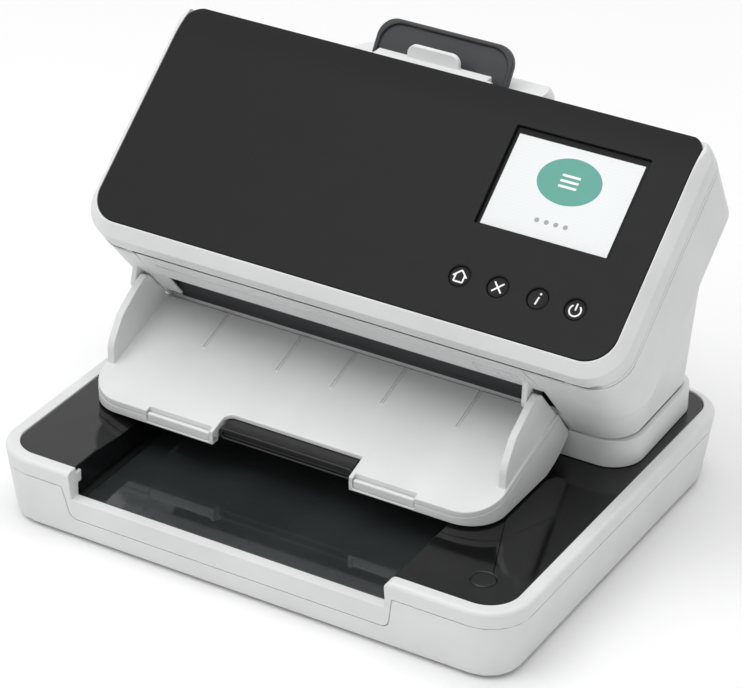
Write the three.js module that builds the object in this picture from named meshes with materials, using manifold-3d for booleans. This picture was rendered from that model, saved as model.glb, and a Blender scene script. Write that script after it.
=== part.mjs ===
// A sheet-fed document scanner docked on a small flatbed unit, in millimetres, +Z up.
// The origin is on the table under the middle of the flatbed. The front is at -Y.
// Three frames are used: the table frame, the head frame (x, up the front panel, out of the panel)
// and the input tray frame (x, up the tray, out of its paper side).

import * as THREE from 'three';
import { mergeVertices } from 'three/addons/utils/BufferGeometryUtils.js';
import Module from 'manifold-3d';

const wasm = await Module();
wasm.setup();

// Clearances, walls and counts shared by the whole machine
const gap = 0.3;
const overrun = 30;
const shellWall = 2.4;
const frameSheet = 2.5;
const arcSteps = 4;
const roundSteps = 20;
const smallSteps = 12;
const turnShare = 0.3;
const cornerRoomShare = 0.49;
const ribPitchShare = 1.6;

// Flatbed unit: outer shell
const baseHalfWidth = 152.3;
const baseHalfDepth = 122.2;
const baseCorner = 24;
const baseDraft = 4.8;
const baseTurn = 4;
const baseUnderside = 1.2;
const baseFloor = 2.6;
const rimTop = 43;
const rimTurn = 2.6;
const rimDepth = 5;
const seamHeight = 33;
const seamDipHeight = 14;
const seamDipLean = 3.5;
const seamDipTurn = 5;
const seamDipDepth = 9;
const seamPastLeft = 1.6;
const seamPastRight = 0.6;

// Flatbed unit: notch, deck, well and glass
const notchFromLeft = 50.4;
const notchFromRight = 69.4;
const notchLeft = notchFromLeft - baseHalfWidth;
const notchRight = baseHalfWidth - notchFromRight;
const seamDipLeft = notchLeft - seamPastLeft;
const seamDipRight = notchRight + seamPastRight;
const notchLedge = 26.4;
const ledgeDepth = 8.5;
const ledgeThick = 2.4;
const deckTop = 42.2;
const deckPlate = 2.2;
const rimSide = 7.9;
const rimFront = 7.5;
const rimBack = 3.9;
const deckHalfWidth = baseHalfWidth - rimSide;
const deckFront = rimFront - baseHalfDepth;
const deckBack = baseHalfDepth - rimBack;
const deckCorner = 16.5;
const deckSeat = 4.4;
const wellSide = 1.1;
const wellBack = 15;
const wellWall = 2;
const scoopRadius = 40;
const scoopFromNotch = 24.4;
const scoopFromFront = 48.9;
const scoopX = notchLeft + scoopFromNotch;
const scoopY = deckFront + scoopFromFront;
const scoopDepth = 4;
const scoopFloor = 1.8;
const platenTop = 24.3;
const platenThick = 5.8;
const platenMargin = 3.4;
const glassThick = 2.4;
const glassMargin = 3.2;
const glassSeat = 3.7;

// Flatbed unit: scan carriage, its rod, belt, pulleys and motor
const carriageWide = 22;
const carriageHigh = 11.2;
const carriageInset = 9;
const rodRadius = 3;
const rodOut = 8;
const rodHeight = 11;
const rodBracket = 4;
const beltOut = 22;
const beltWide = 4;
const beltThick = 1.2;
const beltHeight = 9;
const beltPulleyRadius = 5;
const beltPulleyInset = 14;
const pulleyPostRadius = 1.5;
const bedMotorRadius = 11;
const bedMotorHigh = 17;
const bedMotorFlange = 14;
const bedMotorShaft = 1.2;
const postRadius = 2.5;
const padRadius = 7.5;
const padThick = 2.2;
const padInset = 24;

// Half the width of the head, which the foot, the panel and the paper path follow
const headHalfWidth = 156;

// Foot of the scanner
const footInFront = 15.8;
const footInBack = 18;
const footFront = 26.3;
const footBack = 110.4;
const footHalfFront = headHalfWidth - footInFront;
const footHalfBack = headHalfWidth - footInBack;
const footCornerFront = 18;
const footCornerBack = 14;
const footTop = 58.2;
const footFloor = 2.5;
const footLedge = 0.8;

// Head frame: its tilt, and where the lower edge of the panel lies
const headTilt = THREE.MathUtils.degToRad(39.22);
const headY = -29.7;
const headZ = 136.5;

// Head: bezel, panel and housing block
const bezelSide = 5.7;
const lowerStep = 2.5;
const headFront = 7;
const headLength = 130.2;
const bezelDepth = 16.85;
const bevelDepth = 6.2;
const bezelCorner = 21.5;
const bezelTopCorner = 12;
const bezelWall = 2.6;
const panelHalfWidth = headHalfWidth - bezelSide;
const panelCorner = 16;
const panelTopCorner = 9;
const panelThick = 2.6;
const panelLip = 0.8;
const panelInEnd = 0.6;
const panelCurve = 21.6;
const panelRadius = 55;
const panelEnd = headLength - panelInEnd;
const panelFlat = panelEnd - panelCurve;
const bezelPastEnd = 0.2;
const bezelBack = headLength + bezelPastEnd;
const housingDepth = 57.5;
const housingTurn = 2;
const housingBackDrop = 7.4;
const housingFrontRise = 0.6;
const lowerHalfTop = headHalfWidth - lowerStep;
const lowerBack = 97;
const lowerTopDepth = 48;

// Display and buttons on the panel
const displayInRight = 20.9;
const displayWide = 75.1;
const displayTall = 56.2;
const displayRight = panelHalfWidth - displayInRight;
const displayLeft = displayRight - displayWide;
const displayLow = 53.9;
const displayHigh = displayLow + displayTall;
const displaySunk = 2;
const displayGlass = 1;
const moduleThick = 4;
const moduleMargin = 3.2;
const buttonLine = 24.6;
const homeInLeft = 5;
const powerInRight = 5.9;
const cancelFromHome = 21.4;
const infoFromPower = 20.6;
const homeX = displayLeft + homeInLeft;
const powerX = displayRight - powerInRight;
const cancelX = homeX + cancelFromHome;
const infoX = powerX - infoFromPower;
const buttonRadius = 5.4;
const buttonDish = 6.9;
const buttonDishDepth = 0.5;
const buttonSunk = 0.8;
const buttonFlange = 1.2;
const buttonFlangeThick = 1;
const buttonStem = 2;
const buttonStemLength = 2.1;
const boardThick = 1.6;
const boardDepth = 7.4;
const boardMargin = 10;
const bossRadius = 2;

// Cover hinge and knuckles
const hingeS = -4.8;
const hingeN = -17;
const knuckleRadius = 2.2;
const knuckleInset = 29.4;
const knuckleStart = headHalfWidth - knuckleInset;
const knuckleWide = 4.1;
const pinRadius = 1.1;

// Paper path
const pathN = -27;
const pathRoom = 0.6;
const pathInLeft = 34.3;
const pathInRight = 59;
const pathLeft = pathInLeft - headHalfWidth;
const pathRight = headHalfWidth - pathInRight;
const pathCentre = -13.5;
const guideSheet = 2.9;
const guideBack = 125;
const guideNose = 2.2;
const guideNoseDrop = 12;
const coverGuideFront = 0.8;
const coverGuideSheet = 1.8;
const coverFlangeTop = -11;
const coverFlange = 1.5;
const throatStart = 86;
const throatRoom = 8.5;
const sensorStart = 22;
const sensorWide = 12;
const sensorDeep = 12;

// Rollers: places along the path, radii and tyres
const feedS = 75;
const driveS = 45;
const exitS = 11;
const feedRadius = 9;
const driveRadius = 8;
const exitRadius = 7;
const shaftRadius = 3;
const tyreWide = 16;
const innerTyre = 22;
const outerTyre = 68;
const pulleyStep = 1;
const pulleyWide = 4.4;
const pulleyStart = 2.1;
const separationRadius = 6.5;
const pressureRadius = 6;
const idlerShaft = 2;
const driveBeltThick = 1.6;

// Drive motor, boards and sockets
const motorY = 56;
const motorZ = 84;
const motorRadius = 17;
const motorLong = 38;
const motorFlange = 20;
const motorFlangeThick = 2;
const motorPulley = 5;
const motorShaftRadius = 2.4;
const boardInLeft = 13.7;
const boardInRight = 47;
const mainBoardLeft = pathLeft + boardInLeft;
const mainBoardRight = pathRight - boardInRight;
const mainBoardFront = 44;
const mainBoardBack = 100;
const mainBoardLift = 4;
const inletFromBoard = 42;
const inletX = mainBoardLeft + inletFromBoard;
const inletHalf = 6;
const socketFromInlet = 42;
const socketX = inletX + socketFromInlet;
const socketHalf = 6.5;
const socketHigh = 6;
const socketLong = 12;
const speakerInset = 31;
const speakerX = headHalfWidth - speakerInset;
const speakerN = -38;
const speakerRadius = 11;
const speakerDeep = 6;

// Seams of the middle of the housing
const seamOutLeftTop = 3.9;
const seamOutLeftLow = 6.3;
const seamOutRightTop = 4.4;
const seamOutRightLow = 10;
const seamLeftTop = pathLeft - seamOutLeftTop;
const seamLeftLow = pathLeft - seamOutLeftLow;
const seamRightTop = pathRight + seamOutRightTop;
const seamRightLow = pathRight + seamOutRightLow;
const seamLeftTurn = -74;
const seamRightTurn = -46;
const lipLow = -44;
const mouthLow = -75.4;
const chinBack = 0.3;

// Release lever on the back of the cover
const leverX = -13.4;
const leverHalf = 33.4;
const leverTabHalf = 15.3;
const leverY = 84.2;
const leverZ = 207.4;
const leverTop = 209.3;
const leverThick = 3;
const leverBack = 91.4;
const leverTabTop = 216.8;
const leverTabCorner = 5;
const leverPivot = 1.2;
const leverLug = 2.3;
const leverLugWide = 3;

// Input tray, its extension and its pocket
const trayTilt = THREE.MathUtils.degToRad(56.5);
const trayPivotS = 130;
const trayPivotN = -50;
const trayPlateTop = 13;
const trayPlateLow = -22;
const trayFace = 19;
const trayThick = 4;
const trayArm = 4;
const trayArmRound = 5;
const trayStub = 2.6;
const trayEar = 3;
const trayEarRound = 5;
const pocketHalf = 57;
const pocketBack = 6.5;
const pocketTop = 24.4;
const pocketLow = -8;
const pocketCorner = 6;
const loopX = -13.4;
const loopHalf = 40.2;
const loopTop = 36;
const loopLow = -41;
const loopCorner = 13.5;
const loopRim = 4;
const loopRimHigh = 1.6;
const loopThick = 2.4;
const loopLip = 2.5;

// Side guides of the paper throat
const sideGuideInset = 6.85;
const sideGuideOut = (pathRight - pathLeft) / 2 - sideGuideInset;
const sideGuideWall = 2;
const sideGuideFront = 96;
const sideGuideBack = 123;
const rackWide = 3.5;
const rackThick = 1.2;
const rackPast = 6;
const pinionS = 107.7;
const pinionRadius = 3.4;
const pinionPost = 1.2;

// Output tray
const outPastLeft = 12.3;
const outPastRight = 9;
const outLeft = pathLeft - outPastLeft;
const outRight = pathRight + outPastRight;
const outFront = -61.3;
const outCorner = 20;
const outFloorY = 11.8;
const outFloorZ = 75;
const outSlope = 0.324;
const outFloor = 2.6;
const outUnderside = 43.5;
const outWall = 2.6;
const chinFloorY = 27;
const chinClear = 0.45;
const flangeThick = 4.2;
const flangeInset = 1;
const outPivotY = -8.5;
const outPivotZ = 92;
const outPivotRound = 4.5;
const outPivotPin = 1.8;
const outSweep = 49.6;
const lugWide = 3;
const lugGap = 0.4;
const flangeFrontY = -40.3;
const outRibHigh = 0.5;
const outRibWide = 1.4;
const outRibBack = 4;
const outRibLong = 18;

// Output extension and end stops
const stopInLeft = 39.7;
const stopInRight = 41.4;
const stopLeftWide = 37.7;
const stopRightWide = 35;
const gripFromStop = 2.6;
const stopLeftA = outLeft + stopInLeft;
const stopLeftB = stopLeftA + stopLeftWide;
const stopRightB = outRight - stopInRight;
const stopRightA = stopRightB - stopRightWide;
const gripLeft = stopLeftB + gripFromStop;
const gripRight = stopRightA - gripFromStop;
const gripSunk = 5;
const gripTopDrop = 0.8;
const gripDeep = 9;
const gripBottom = 45.6;
const gripPlate = 2;
const gripPlateBack = -4;
const gripRail = 2;
const stopThick = 3;
const stopLow = 45.2;
const stopDrop = 1.4;
const stopPin = 0.9;
const stopPinLong = 1.2;
const stopLipThick = 1.1;

// Finishes
const finishes = {
  white: { color: 0xe6e6e4, roughness: 0.5, metalness: 0 },
  black: { color: 0x1c1c1d, roughness: 0.35, metalness: 0 },
  deck: { color: 0x141415, roughness: 0.15, metalness: 0 },
  charcoal: { color: 0x303030, roughness: 0.5, metalness: 0 },
  panel: { color: 0x2e2e2e, roughness: 0.4, metalness: 0 },
  rubber: { color: 0x3a3a3a, roughness: 0.9, metalness: 0 },
  steel: { color: 0xb4b6b8, roughness: 0.35, metalness: 1 },
  glass: { color: 0x9fb0b4, roughness: 0.05, metalness: 0 },
  display: { color: 0xe8ecec, roughness: 0.2, metalness: 0 },
  board: { color: 0x1f6b3c, roughness: 0.6, metalness: 0 },
};

// Solids from closed geometries
function asSolid(geometry) {
  const bare = new THREE.BufferGeometry();
  bare.setAttribute('position', geometry.getAttribute('position'));
  bare.setIndex(geometry.getIndex());
  const merged = mergeVertices(bare);
  const index = merged.getIndex().array;
  const kept = [];
  for (let i = 0; i < index.length; i += 3) {
    const [a, b, c] = [index[i], index[i + 1], index[i + 2]];
    if (a !== b && b !== c && c !== a) kept.push(a, b, c);
  }
  return new wasm.Manifold(new wasm.Mesh({
    numProp: 3,
    vertProperties: new Float32Array(merged.getAttribute('position').array),
    triVerts: new Uint32Array(kept),
  }));
}

function asGeometry(solid) {
  const mesh = solid.getMesh();
  const geometry = new THREE.BufferGeometry();
  geometry.setAttribute('position', new THREE.BufferAttribute(new Float32Array(mesh.vertProperties), 3));
  geometry.setIndex(new THREE.BufferAttribute(new Uint32Array(mesh.triVerts), 1));
  geometry.computeVertexNormals();
  return geometry;
}

const join = (first, ...rest) => rest.reduce((sum, each) => sum.add(each), first);
const cut = (first, ...rest) => rest.reduce((left, each) => left.subtract(each), first);
const common = (first, ...rest) => rest.reduce((both, each) => both.intersect(each), first);

// Outlines are lists of [a, b], counterclockwise. A corner may carry a radius: [a, b, radius].
function rounded(corners) {
  const count = corners.length;
  const path = [];
  corners.forEach(([a, b, radius = 0], i) => {
    const before = corners[(i + count - 1) % count];
    const after = corners[(i + 1) % count];
    const here = new THREE.Vector2(a, b);
    const back = new THREE.Vector2(before[0] - a, before[1] - b);
    const ahead = new THREE.Vector2(after[0] - a, after[1] - b);
    const room = cornerRoomShare * Math.min(back.length(), ahead.length());
    back.normalize();
    ahead.normalize();
    const half = Math.acos(THREE.MathUtils.clamp(back.dot(ahead), -1, 1)) / 2;
    const reach = Math.min(radius / Math.tan(half), room);
    if (!radius || reach < room * 1e-6) {
      path.push([a, b]);
      return;
    }
    const turn = reach * Math.tan(half);
    const centre = back.clone().add(ahead).normalize().multiplyScalar(turn / Math.sin(half)).add(here);
    const start = here.clone().addScaledVector(back, reach).sub(centre);
    const end = here.clone().addScaledVector(ahead, reach).sub(centre);
    const sweep = Math.atan2(start.cross(end), start.dot(end));
    for (let k = 0; k <= arcSteps; k += 1) {
      const step = start.clone().rotateAround(new THREE.Vector2(), (sweep * k) / arcSteps).add(centre);
      path.push([step.x, step.y]);
    }
  });
  return path;
}

function circle(a, b, radius, steps = roundSteps) {
  return Array.from({ length: steps }, (_, k) => {
    const angle = (2 * Math.PI * k) / steps;
    return [a + radius * Math.cos(angle), b + radius * Math.sin(angle)];
  });
}

const box2 = (a0, a1, b0, b1, radius = 0) => [
  [a0, b0, radius], [a1, b0, radius], [a1, b1, radius], [a0, b1, radius],
];

function extruded(path, depth) {
  const shape = new THREE.Shape(path.map(([a, b]) => new THREE.Vector2(a, b)));
  return new THREE.ExtrudeGeometry(shape, { depth, bevelEnabled: false, steps: 1 });
}

const unitX = new THREE.Vector3(1, 0, 0);
const unitY = new THREE.Vector3(0, 1, 0);
const unitZ = new THREE.Vector3(0, 0, 1);
const alongX = new THREE.Matrix4().makeBasis(unitY, unitZ, unitX);
const alongY = new THREE.Matrix4().makeBasis(unitX, unitZ, unitY.clone().negate());

// An outline in (x, y) raised from z0 to z1, in (y, z) run from x0 to x1, in (x, z) run from y0 to y1
const raised = (path, z0, z1) => asSolid(extruded(path, z1 - z0).translate(0, 0, z0));
const run = (path, x0, x1) => asSolid(extruded(path, x1 - x0).applyMatrix4(alongX).translate(x0, 0, 0));
const deep = (path, y0, y1) => asSolid(extruded(path, y1 - y0).applyMatrix4(alongY).translate(0, y1, 0));

function block(x0, x1, y0, y1, z0, z1) {
  const geometry = new THREE.BoxGeometry(x1 - x0, y1 - y0, z1 - z0);
  return asSolid(geometry.translate((x0 + x1) / 2, (y0 + y1) / 2, (z0 + z1) / 2));
}

const rod = (y, z, radius, x0, x1, steps) => run(circle(y, z, radius, steps), x0, x1);
const post = (x, y, radius, z0, z1, steps) => raised(circle(x, y, radius, steps), z0, z1);

// A closed body through rings of points that match one to one, from the lowest ring up
function lofted(rings) {
  const count = rings[0].length;
  const points = rings.flat();
  const middle = (ring) => ring.reduce((sum, p) => sum.add(p), new THREE.Vector3()).divideScalar(count);
  const low = points.length;
  points.push(middle(rings[0]), middle(rings[rings.length - 1]));
  const index = [];
  for (let k = 0; k < rings.length - 1; k += 1) {
    for (let i = 0; i < count; i += 1) {
      const a = k * count + i;
      const b = k * count + ((i + 1) % count);
      index.push(a, b, b + count, a, b + count, a + count);
    }
  }
  const top = (rings.length - 1) * count;
  for (let i = 0; i < count; i += 1) {
    const next = (i + 1) % count;
    index.push(low, next, i, low + 1, top + i, top + next);
  }
  const geometry = new THREE.BufferGeometry();
  geometry.setAttribute(
    'position', new THREE.BufferAttribute(new Float32Array(points.flatMap((p) => p.toArray())), 3),
  );
  geometry.setIndex(index);
  return asSolid(geometry);
}

// The convex outline round a set of points
function hull(points) {
  const sorted = [...points].sort((p, q) => p[0] - q[0] || p[1] - q[1]);
  const side = (o, p, q) => (p[0] - o[0]) * (q[1] - o[1]) - (p[1] - o[1]) * (q[0] - o[0]);
  const half = (list) => {
    const chain = [];
    for (const point of list) {
      while (chain.length > 1 && side(
        chain[chain.length - 2], chain[chain.length - 1], point,
      ) <= 0) chain.pop();
      chain.push(point);
    }
    return chain.slice(0, -1);
  };
  return [...half(sorted), ...half(sorted.reverse())];
}

const scanner = new THREE.Group();
const head = new THREE.Group();
head.position.set(0, headY, headZ);
head.rotation.x = headTilt;
scanner.add(head);

function addPiece(parent, name, solid, finish) {
  const mesh = new THREE.Mesh(asGeometry(solid), new THREE.MeshStandardMaterial(finishes[finish]));
  mesh.name = name;
  parent.add(mesh);
}

// Between the table frame (y, z) and the head frame (s, n)
const cosHead = Math.cos(headTilt);
const sinHead = Math.sin(headTilt);
const toHead = (y, z) => {
  const [dy, dz] = [y - headY, z - headZ];
  return [dy * cosHead + dz * sinHead, dz * cosHead - dy * sinHead];
};
const fromHead = (s, n) => [headY + s * cosHead - n * sinHead, headZ + s * sinHead + n * cosHead];
const headPoint = (x, s, n) => new THREE.Vector3(x, ...fromHead(s, n));

// A solid of the head frame, given in the table frame
const headPose = new THREE.Matrix4().makeRotationX(headTilt).setPosition(0, headY, headZ);
const inTable = (solid) => asSolid(asGeometry(solid).applyMatrix4(headPose));

// Flatbed unit

function baseRing(inset, z) {
  const [w, d] = [baseHalfWidth - inset, baseHalfDepth - inset];
  return rounded(box2(-w, w, -d, d, baseCorner - inset)).map(([x, y]) => new THREE.Vector3(x, y, z));
}

const baseBody = lofted([
  baseRing(baseDraft + baseTurn, baseUnderside),
  baseRing(baseDraft + baseTurn * turnShare, baseUnderside + baseTurn * turnShare),
  baseRing(baseDraft, baseUnderside + baseTurn),
  baseRing(0, rimTop - rimTurn),
  baseRing(rimTurn * turnShare, rimTop - rimTurn * turnShare),
  baseRing(rimTurn, rimTop),
]);
const baseInside = baseUnderside + baseFloor;
const baseHollow = lofted([
  baseRing(baseDraft + baseTurn + shellWall, baseInside),
  baseRing(baseDraft + shellWall, baseInside + baseTurn),
  baseRing(shellWall, rimTop - rimDepth),
]);
const everywhere = baseHalfWidth + overrun;
const seamAbove = (z) => block(-everywhere, everywhere, -everywhere, everywhere, z, rimTop + overrun);

function seamDip(grow) {
  const low = seamDipHeight - grow;
  const path = rounded([
    [seamDipLeft - grow, low, seamDipTurn],
    [seamDipRight + grow, low, seamDipTurn],
    [seamDipRight + seamDipLean + grow, seamHeight + gap],
    [seamDipLeft - seamDipLean - grow, seamHeight + gap],
  ]);
  return deep(path, -everywhere, -baseHalfDepth + seamDipDepth);
}

const deckPath = (grow) => {
  const w = deckHalfWidth + grow;
  return rounded(box2(-w, w, deckFront - grow, deckBack + grow, deckCorner + grow));
};
const deckLow = deckTop - deckPlate;
const wellLeft = notchLeft - wellSide;
const wellRight = notchRight + wellSide;
const wellFront = deckFront + deckSeat;
const ledgeBack = -baseHalfDepth + ledgeDepth;

function baseFrame() {
  const upper = common(baseBody, join(seamAbove(seamHeight + gap / 2), seamDip(0)));
  const ledge = block(
    notchLeft - shellWall, notchRight + shellWall, -baseHalfDepth + shellWall, ledgeBack,
    notchLedge - ledgeThick, notchLedge,
  );
  const endSpans = [[notchLeft - shellWall, notchLeft], [notchRight, notchRight + shellWall]];
  const ends = endSpans.map(([x0, x1]) => block(
    x0, x1, -baseHalfDepth + shellWall, wellFront, platenTop + gap, rimTop - rimDepth + gap,
  ));
  const hollow = cut(baseHollow, ledge, ...ends);
  const open = raised(deckPath(-deckSeat), seamHeight - overrun, rimTop + overrun);
  const keep = join(ledge, ...ends);
  return cut(
    upper,
    hollow,
    cut(open, keep),
    raised(deckPath(gap), deckLow - gap, rimTop + overrun),
    block(notchLeft, notchRight, -everywhere, wellFront, notchLedge, rimTop + overrun),
  );
}
addPiece(scanner, 'base_frame', baseFrame(), 'white');

const platenLeft = wellLeft - platenMargin;
const platenRight = wellRight + platenMargin;
const platenFront = ledgeBack + gap;
const platenBack = wellBack + platenMargin;
const platenLow = platenTop - platenThick;
const glassBox = (grow, z0, z1) => block(
  platenLeft + platenMargin + glassMargin - grow, platenRight - platenMargin - glassMargin + grow,
  platenFront + glassMargin - grow, platenBack - platenMargin - glassMargin + grow, z0, z1,
);
const carriageLow = platenLow - 2 * gap - carriageHigh;
const carriageX = wellLeft + glassMargin;
const rodY = platenBack + rodOut;
const beltY = platenBack + beltOut;
const beltRunY = beltY - beltPulleyRadius - gap - beltThick / 2;
const pulleyLeftX = wellLeft - beltPulleyInset;
const pulleyRightX = wellRight + beltPulleyInset + beltPulleyRadius;
const beltTop = beltHeight + beltWide;
const bedMotorLow = beltTop + 3 * gap;
const rodRightX = wellRight - gap;
const rodLeftX = pulleyLeftX + beltPulleyRadius;
const frameBase = baseHalfWidth - baseDraft - padInset;
const padPlaces = [[-1, -1], [1, -1], [-1, 1], [1, 1]].map(([a, b]) => [
  a * frameBase, b * (baseHalfDepth - baseDraft - padInset),
]);

function baseTray() {
  const lower = cut(baseBody, seamAbove(seamHeight - gap / 2), seamDip(gap), baseHollow);
  const sunk = baseInside - baseFloor / 2;
  const posts = [platenLeft + postRadius, platenRight - postRadius].flatMap((x) => [
    platenFront + 3 * postRadius, platenBack - postRadius,
  ].map((y) => post(x, y, postRadius, sunk, platenLow - gap, smallSteps)));
  const brackets = [rodLeftX, rodRightX].map((x) => block(
    x - rodBracket / 2, x + rodBracket / 2, rodY - 2 * rodRadius, rodY + 2 * rodRadius,
    sunk, rodHeight + 2 * rodRadius,
  ));
  const walls = [-1, 1].map((side) => {
    const y = beltY + side * (bedMotorFlange - rodBracket / 2);
    return block(
      pulleyRightX - bedMotorFlange, pulleyRightX + bedMotorFlange, y - rodBracket / 2, y + rodBracket / 2,
      sunk, bedMotorLow - gap,
    );
  });
  const idlerPost = post(pulleyLeftX, beltY, pulleyPostRadius, sunk, beltTop + gap, smallSteps);
  const idlerSeat = post(pulleyLeftX, beltY, 2 * pulleyPostRadius, sunk, beltHeight - gap, smallSteps);
  const pads = padPlaces.map(
    ([x, y]) => post(x, y, padRadius + gap, baseUnderside - overrun, padThick + gap),
  );
  return cut(
    join(lower, ...posts, ...brackets, ...walls, idlerPost, idlerSeat),
    rod(rodY, rodHeight, rodRadius + gap, rodLeftX - overrun, rodRightX + rodBracket, roundSteps),
    ...pads,
  );
}
addPiece(scanner, 'base_tray', baseTray(), 'white');

function deck() {
  const plate = raised(deckPath(0), deckLow, deckTop);
  const wellLow = platenTop + gap;
  const walls = block(
    wellLeft - wellWall, wellRight + wellWall, wellFront + gap, wellBack + wellWall, wellLow, deckTop,
  );
  const scoopLow = deckTop - scoopDepth;
  const boss = common(
    post(scoopX, scoopY, scoopRadius + wellWall, scoopLow - scoopFloor, deckTop),
    block(-everywhere, wellLeft, -everywhere, everywhere, 0, deckTop),
  );
  return cut(
    join(plate, walls, boss),
    block(wellLeft, wellRight, -everywhere, wellBack, 0, rimTop + overrun),
    post(scoopX, scoopY, scoopRadius, scoopLow, rimTop + overrun, 2 * roundSteps),
  );
}
addPiece(scanner, 'deck', deck(), 'deck');

function platenFrame() {
  const body = block(platenLeft, platenRight, platenFront, platenBack, platenLow, platenTop);
  return cut(
    body,
    glassBox(gap, platenTop - glassThick - 2 * gap, platenTop + overrun),
    glassBox(-glassSeat, platenLow - overrun, platenTop + overrun),
  );
}
addPiece(scanner, 'platen_frame', platenFrame(), 'black');
addPiece(scanner, 'platen_glass', glassBox(0, platenTop - glassThick - gap, platenTop - gap), 'glass');

function scanCarriage() {
  const right = carriageX + carriageWide;
  const top = carriageLow + carriageHigh;
  const bar = block(carriageX, right, platenFront + carriageInset, rodY + 2 * rodRadius, carriageLow, top);
  const clampTop = beltTop + 2 * gap;
  const fork = block(
    carriageX, right, rodY, beltRunY + 2 * beltThick, beltHeight - 2 * gap - beltThick, clampTop,
  );
  const slot = block(
    carriageX - overrun, right + overrun, beltRunY - beltThick / 2 - gap, beltRunY + beltThick / 2 + gap,
    beltHeight - gap, rimTop,
  );
  return cut(
    join(bar, fork), rod(rodY, rodHeight, rodRadius + gap, carriageX - overrun, right + overrun), slot,
  );
}
addPiece(scanner, 'scan_carriage', scanCarriage(), 'charcoal');
addPiece(scanner, 'carriage_rod', rod(
  rodY, rodHeight, rodRadius, rodLeftX - rodBracket, rodRightX + rodBracket / 2, roundSteps,
), 'steel');

function carriageBelt() {
  const ring = (radius) => hull([
    ...circle(pulleyLeftX, beltY, radius), ...circle(pulleyRightX, beltY, radius),
  ]);
  const inner = beltPulleyRadius + gap;
  return cut(
    raised(ring(inner + beltThick), beltHeight, beltTop),
    raised(ring(inner), beltHeight - overrun, beltTop + overrun),
  );
}
addPiece(scanner, 'carriage_belt', carriageBelt(), 'rubber');

const pulleyDisc = (x, bore) => cut(
  post(x, beltY, beltPulleyRadius, beltHeight, beltTop),
  post(x, beltY, bore + gap, beltHeight - overrun, beltTop + overrun, smallSteps),
);
addPiece(scanner, 'belt_idler_pulley', pulleyDisc(pulleyLeftX, pulleyPostRadius), 'charcoal');
addPiece(scanner, 'belt_drive_pulley', pulleyDisc(pulleyRightX, bedMotorShaft), 'charcoal');
addPiece(scanner, 'carriage_motor', join(
  block(
    pulleyRightX - bedMotorFlange, pulleyRightX + bedMotorFlange,
    beltY - bedMotorFlange, beltY + bedMotorFlange,
    bedMotorLow, bedMotorLow + gap * 5,
  ),
  post(pulleyRightX, beltY, bedMotorRadius, bedMotorLow, bedMotorLow + bedMotorHigh),
  post(pulleyRightX, beltY, bedMotorShaft, beltHeight - gap, bedMotorLow + gap, smallSteps),
), 'steel');

const padNames = ['pad_front_left', 'pad_front_right', 'pad_rear_left', 'pad_rear_right'];
padPlaces.forEach(
  ([x, y], i) => addPiece(scanner, padNames[i], post(x, y, padRadius, 0, padThick), 'rubber'),
);

// Housing of the head and foot: one outer form, cut into covers along its seams

function slabRing(inset, depth) {
  const share = (depth - bezelDepth) / (housingDepth - bezelDepth);
  const low = -headFront + housingFrontRise * share + inset;
  const high = headLength - housingBackDrop * share - inset;
  const w = headHalfWidth - inset;
  return rounded([
    [-w, low, bezelCorner - inset], [w, low, bezelCorner - inset],
    [w, high, bezelTopCorner - inset], [-w, high, bezelTopCorner - inset],
  ]).map(([x, s]) => headPoint(x, s, -depth));
}

const lowerFloor = footTop + gap;
const chinTop = -bezelDepth - gap;

// Rings of the part between the foot and the block. A tail carries the form straight down past its floor.
function lowerRings(inset, tail) {
  const low = rounded([
    [-footHalfFront + footLedge + inset, footFront + footLedge + inset, footCornerFront],
    [footHalfFront - footLedge - inset, footFront + footLedge + inset, footCornerFront],
    [footHalfBack - footLedge - inset, footBack - footLedge - inset, footCornerBack],
    [-footHalfBack + footLedge + inset, footBack - footLedge - inset, footCornerBack],
  ]).map(([x, y]) => new THREE.Vector3(x, y, lowerFloor));
  const w = lowerHalfTop - inset;
  const front = -headFront + housingFrontRise + inset;
  const high = rounded([
    [-w, front, bezelCorner - inset], [w, front, bezelCorner - inset],
    [w, lowerBack - inset, footCornerBack], [-w, lowerBack - inset, footCornerBack],
  ]).map(([x, s]) => headPoint(x, s, -lowerTopDepth));
  return tail ? [low.map((p) => p.clone().setZ(lowerFloor - tail)), low, high] : [low, high];
}

const slabBody = lofted([
  slabRing(housingTurn, housingDepth), slabRing(0, housingDepth - housingTurn), slabRing(0, -chinTop),
]);
const slabHollow = lofted([
  slabRing(shellWall + housingTurn, housingDepth - shellWall),
  slabRing(shellWall, housingDepth - shellWall - housingTurn),
  slabRing(shellWall, -chinTop + shellWall),
]);
const housingBody = join(slabBody, lofted(lowerRings(0, 0)));
const housingHollow = join(slabHollow, lofted(lowerRings(shellWall, overrun / 2)));
const housingShell = cut(housingBody, housingHollow);

// A prism along the panel's height, from an outline in (x, n)
const housingReach = headLength + overrun;
const acrossHead = (path) => inTable(deep(path, -4 * overrun, housingReach));
const deepest = -headLength - 2 * overrun;
const farSide = headHalfWidth + overrun;
const middleZone = (grow) => acrossHead([
  [seamLeftLow - grow, deepest], [seamRightLow + grow, deepest],
  [seamRightLow + grow, seamRightTurn], [seamRightTop + grow, chinTop],
  [seamRightTop + grow, overrun], [seamLeftTop - grow, overrun],
  [seamLeftTop - grow, chinTop], [seamLeftLow - grow, seamLeftTurn],
]);
const headBlock = (x0, x1, s0, s1, n0, n1) => inTable(block(x0, x1, s0, s1, n0, n1));
const hingeCut = inTable(rod(hingeS, hingeN, knuckleRadius + gap, -farSide, farSide, smallSteps));
const knuckleEnd = knuckleStart + knuckleWide;
const earEnd = knuckleEnd + gap + knuckleWide;

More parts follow.
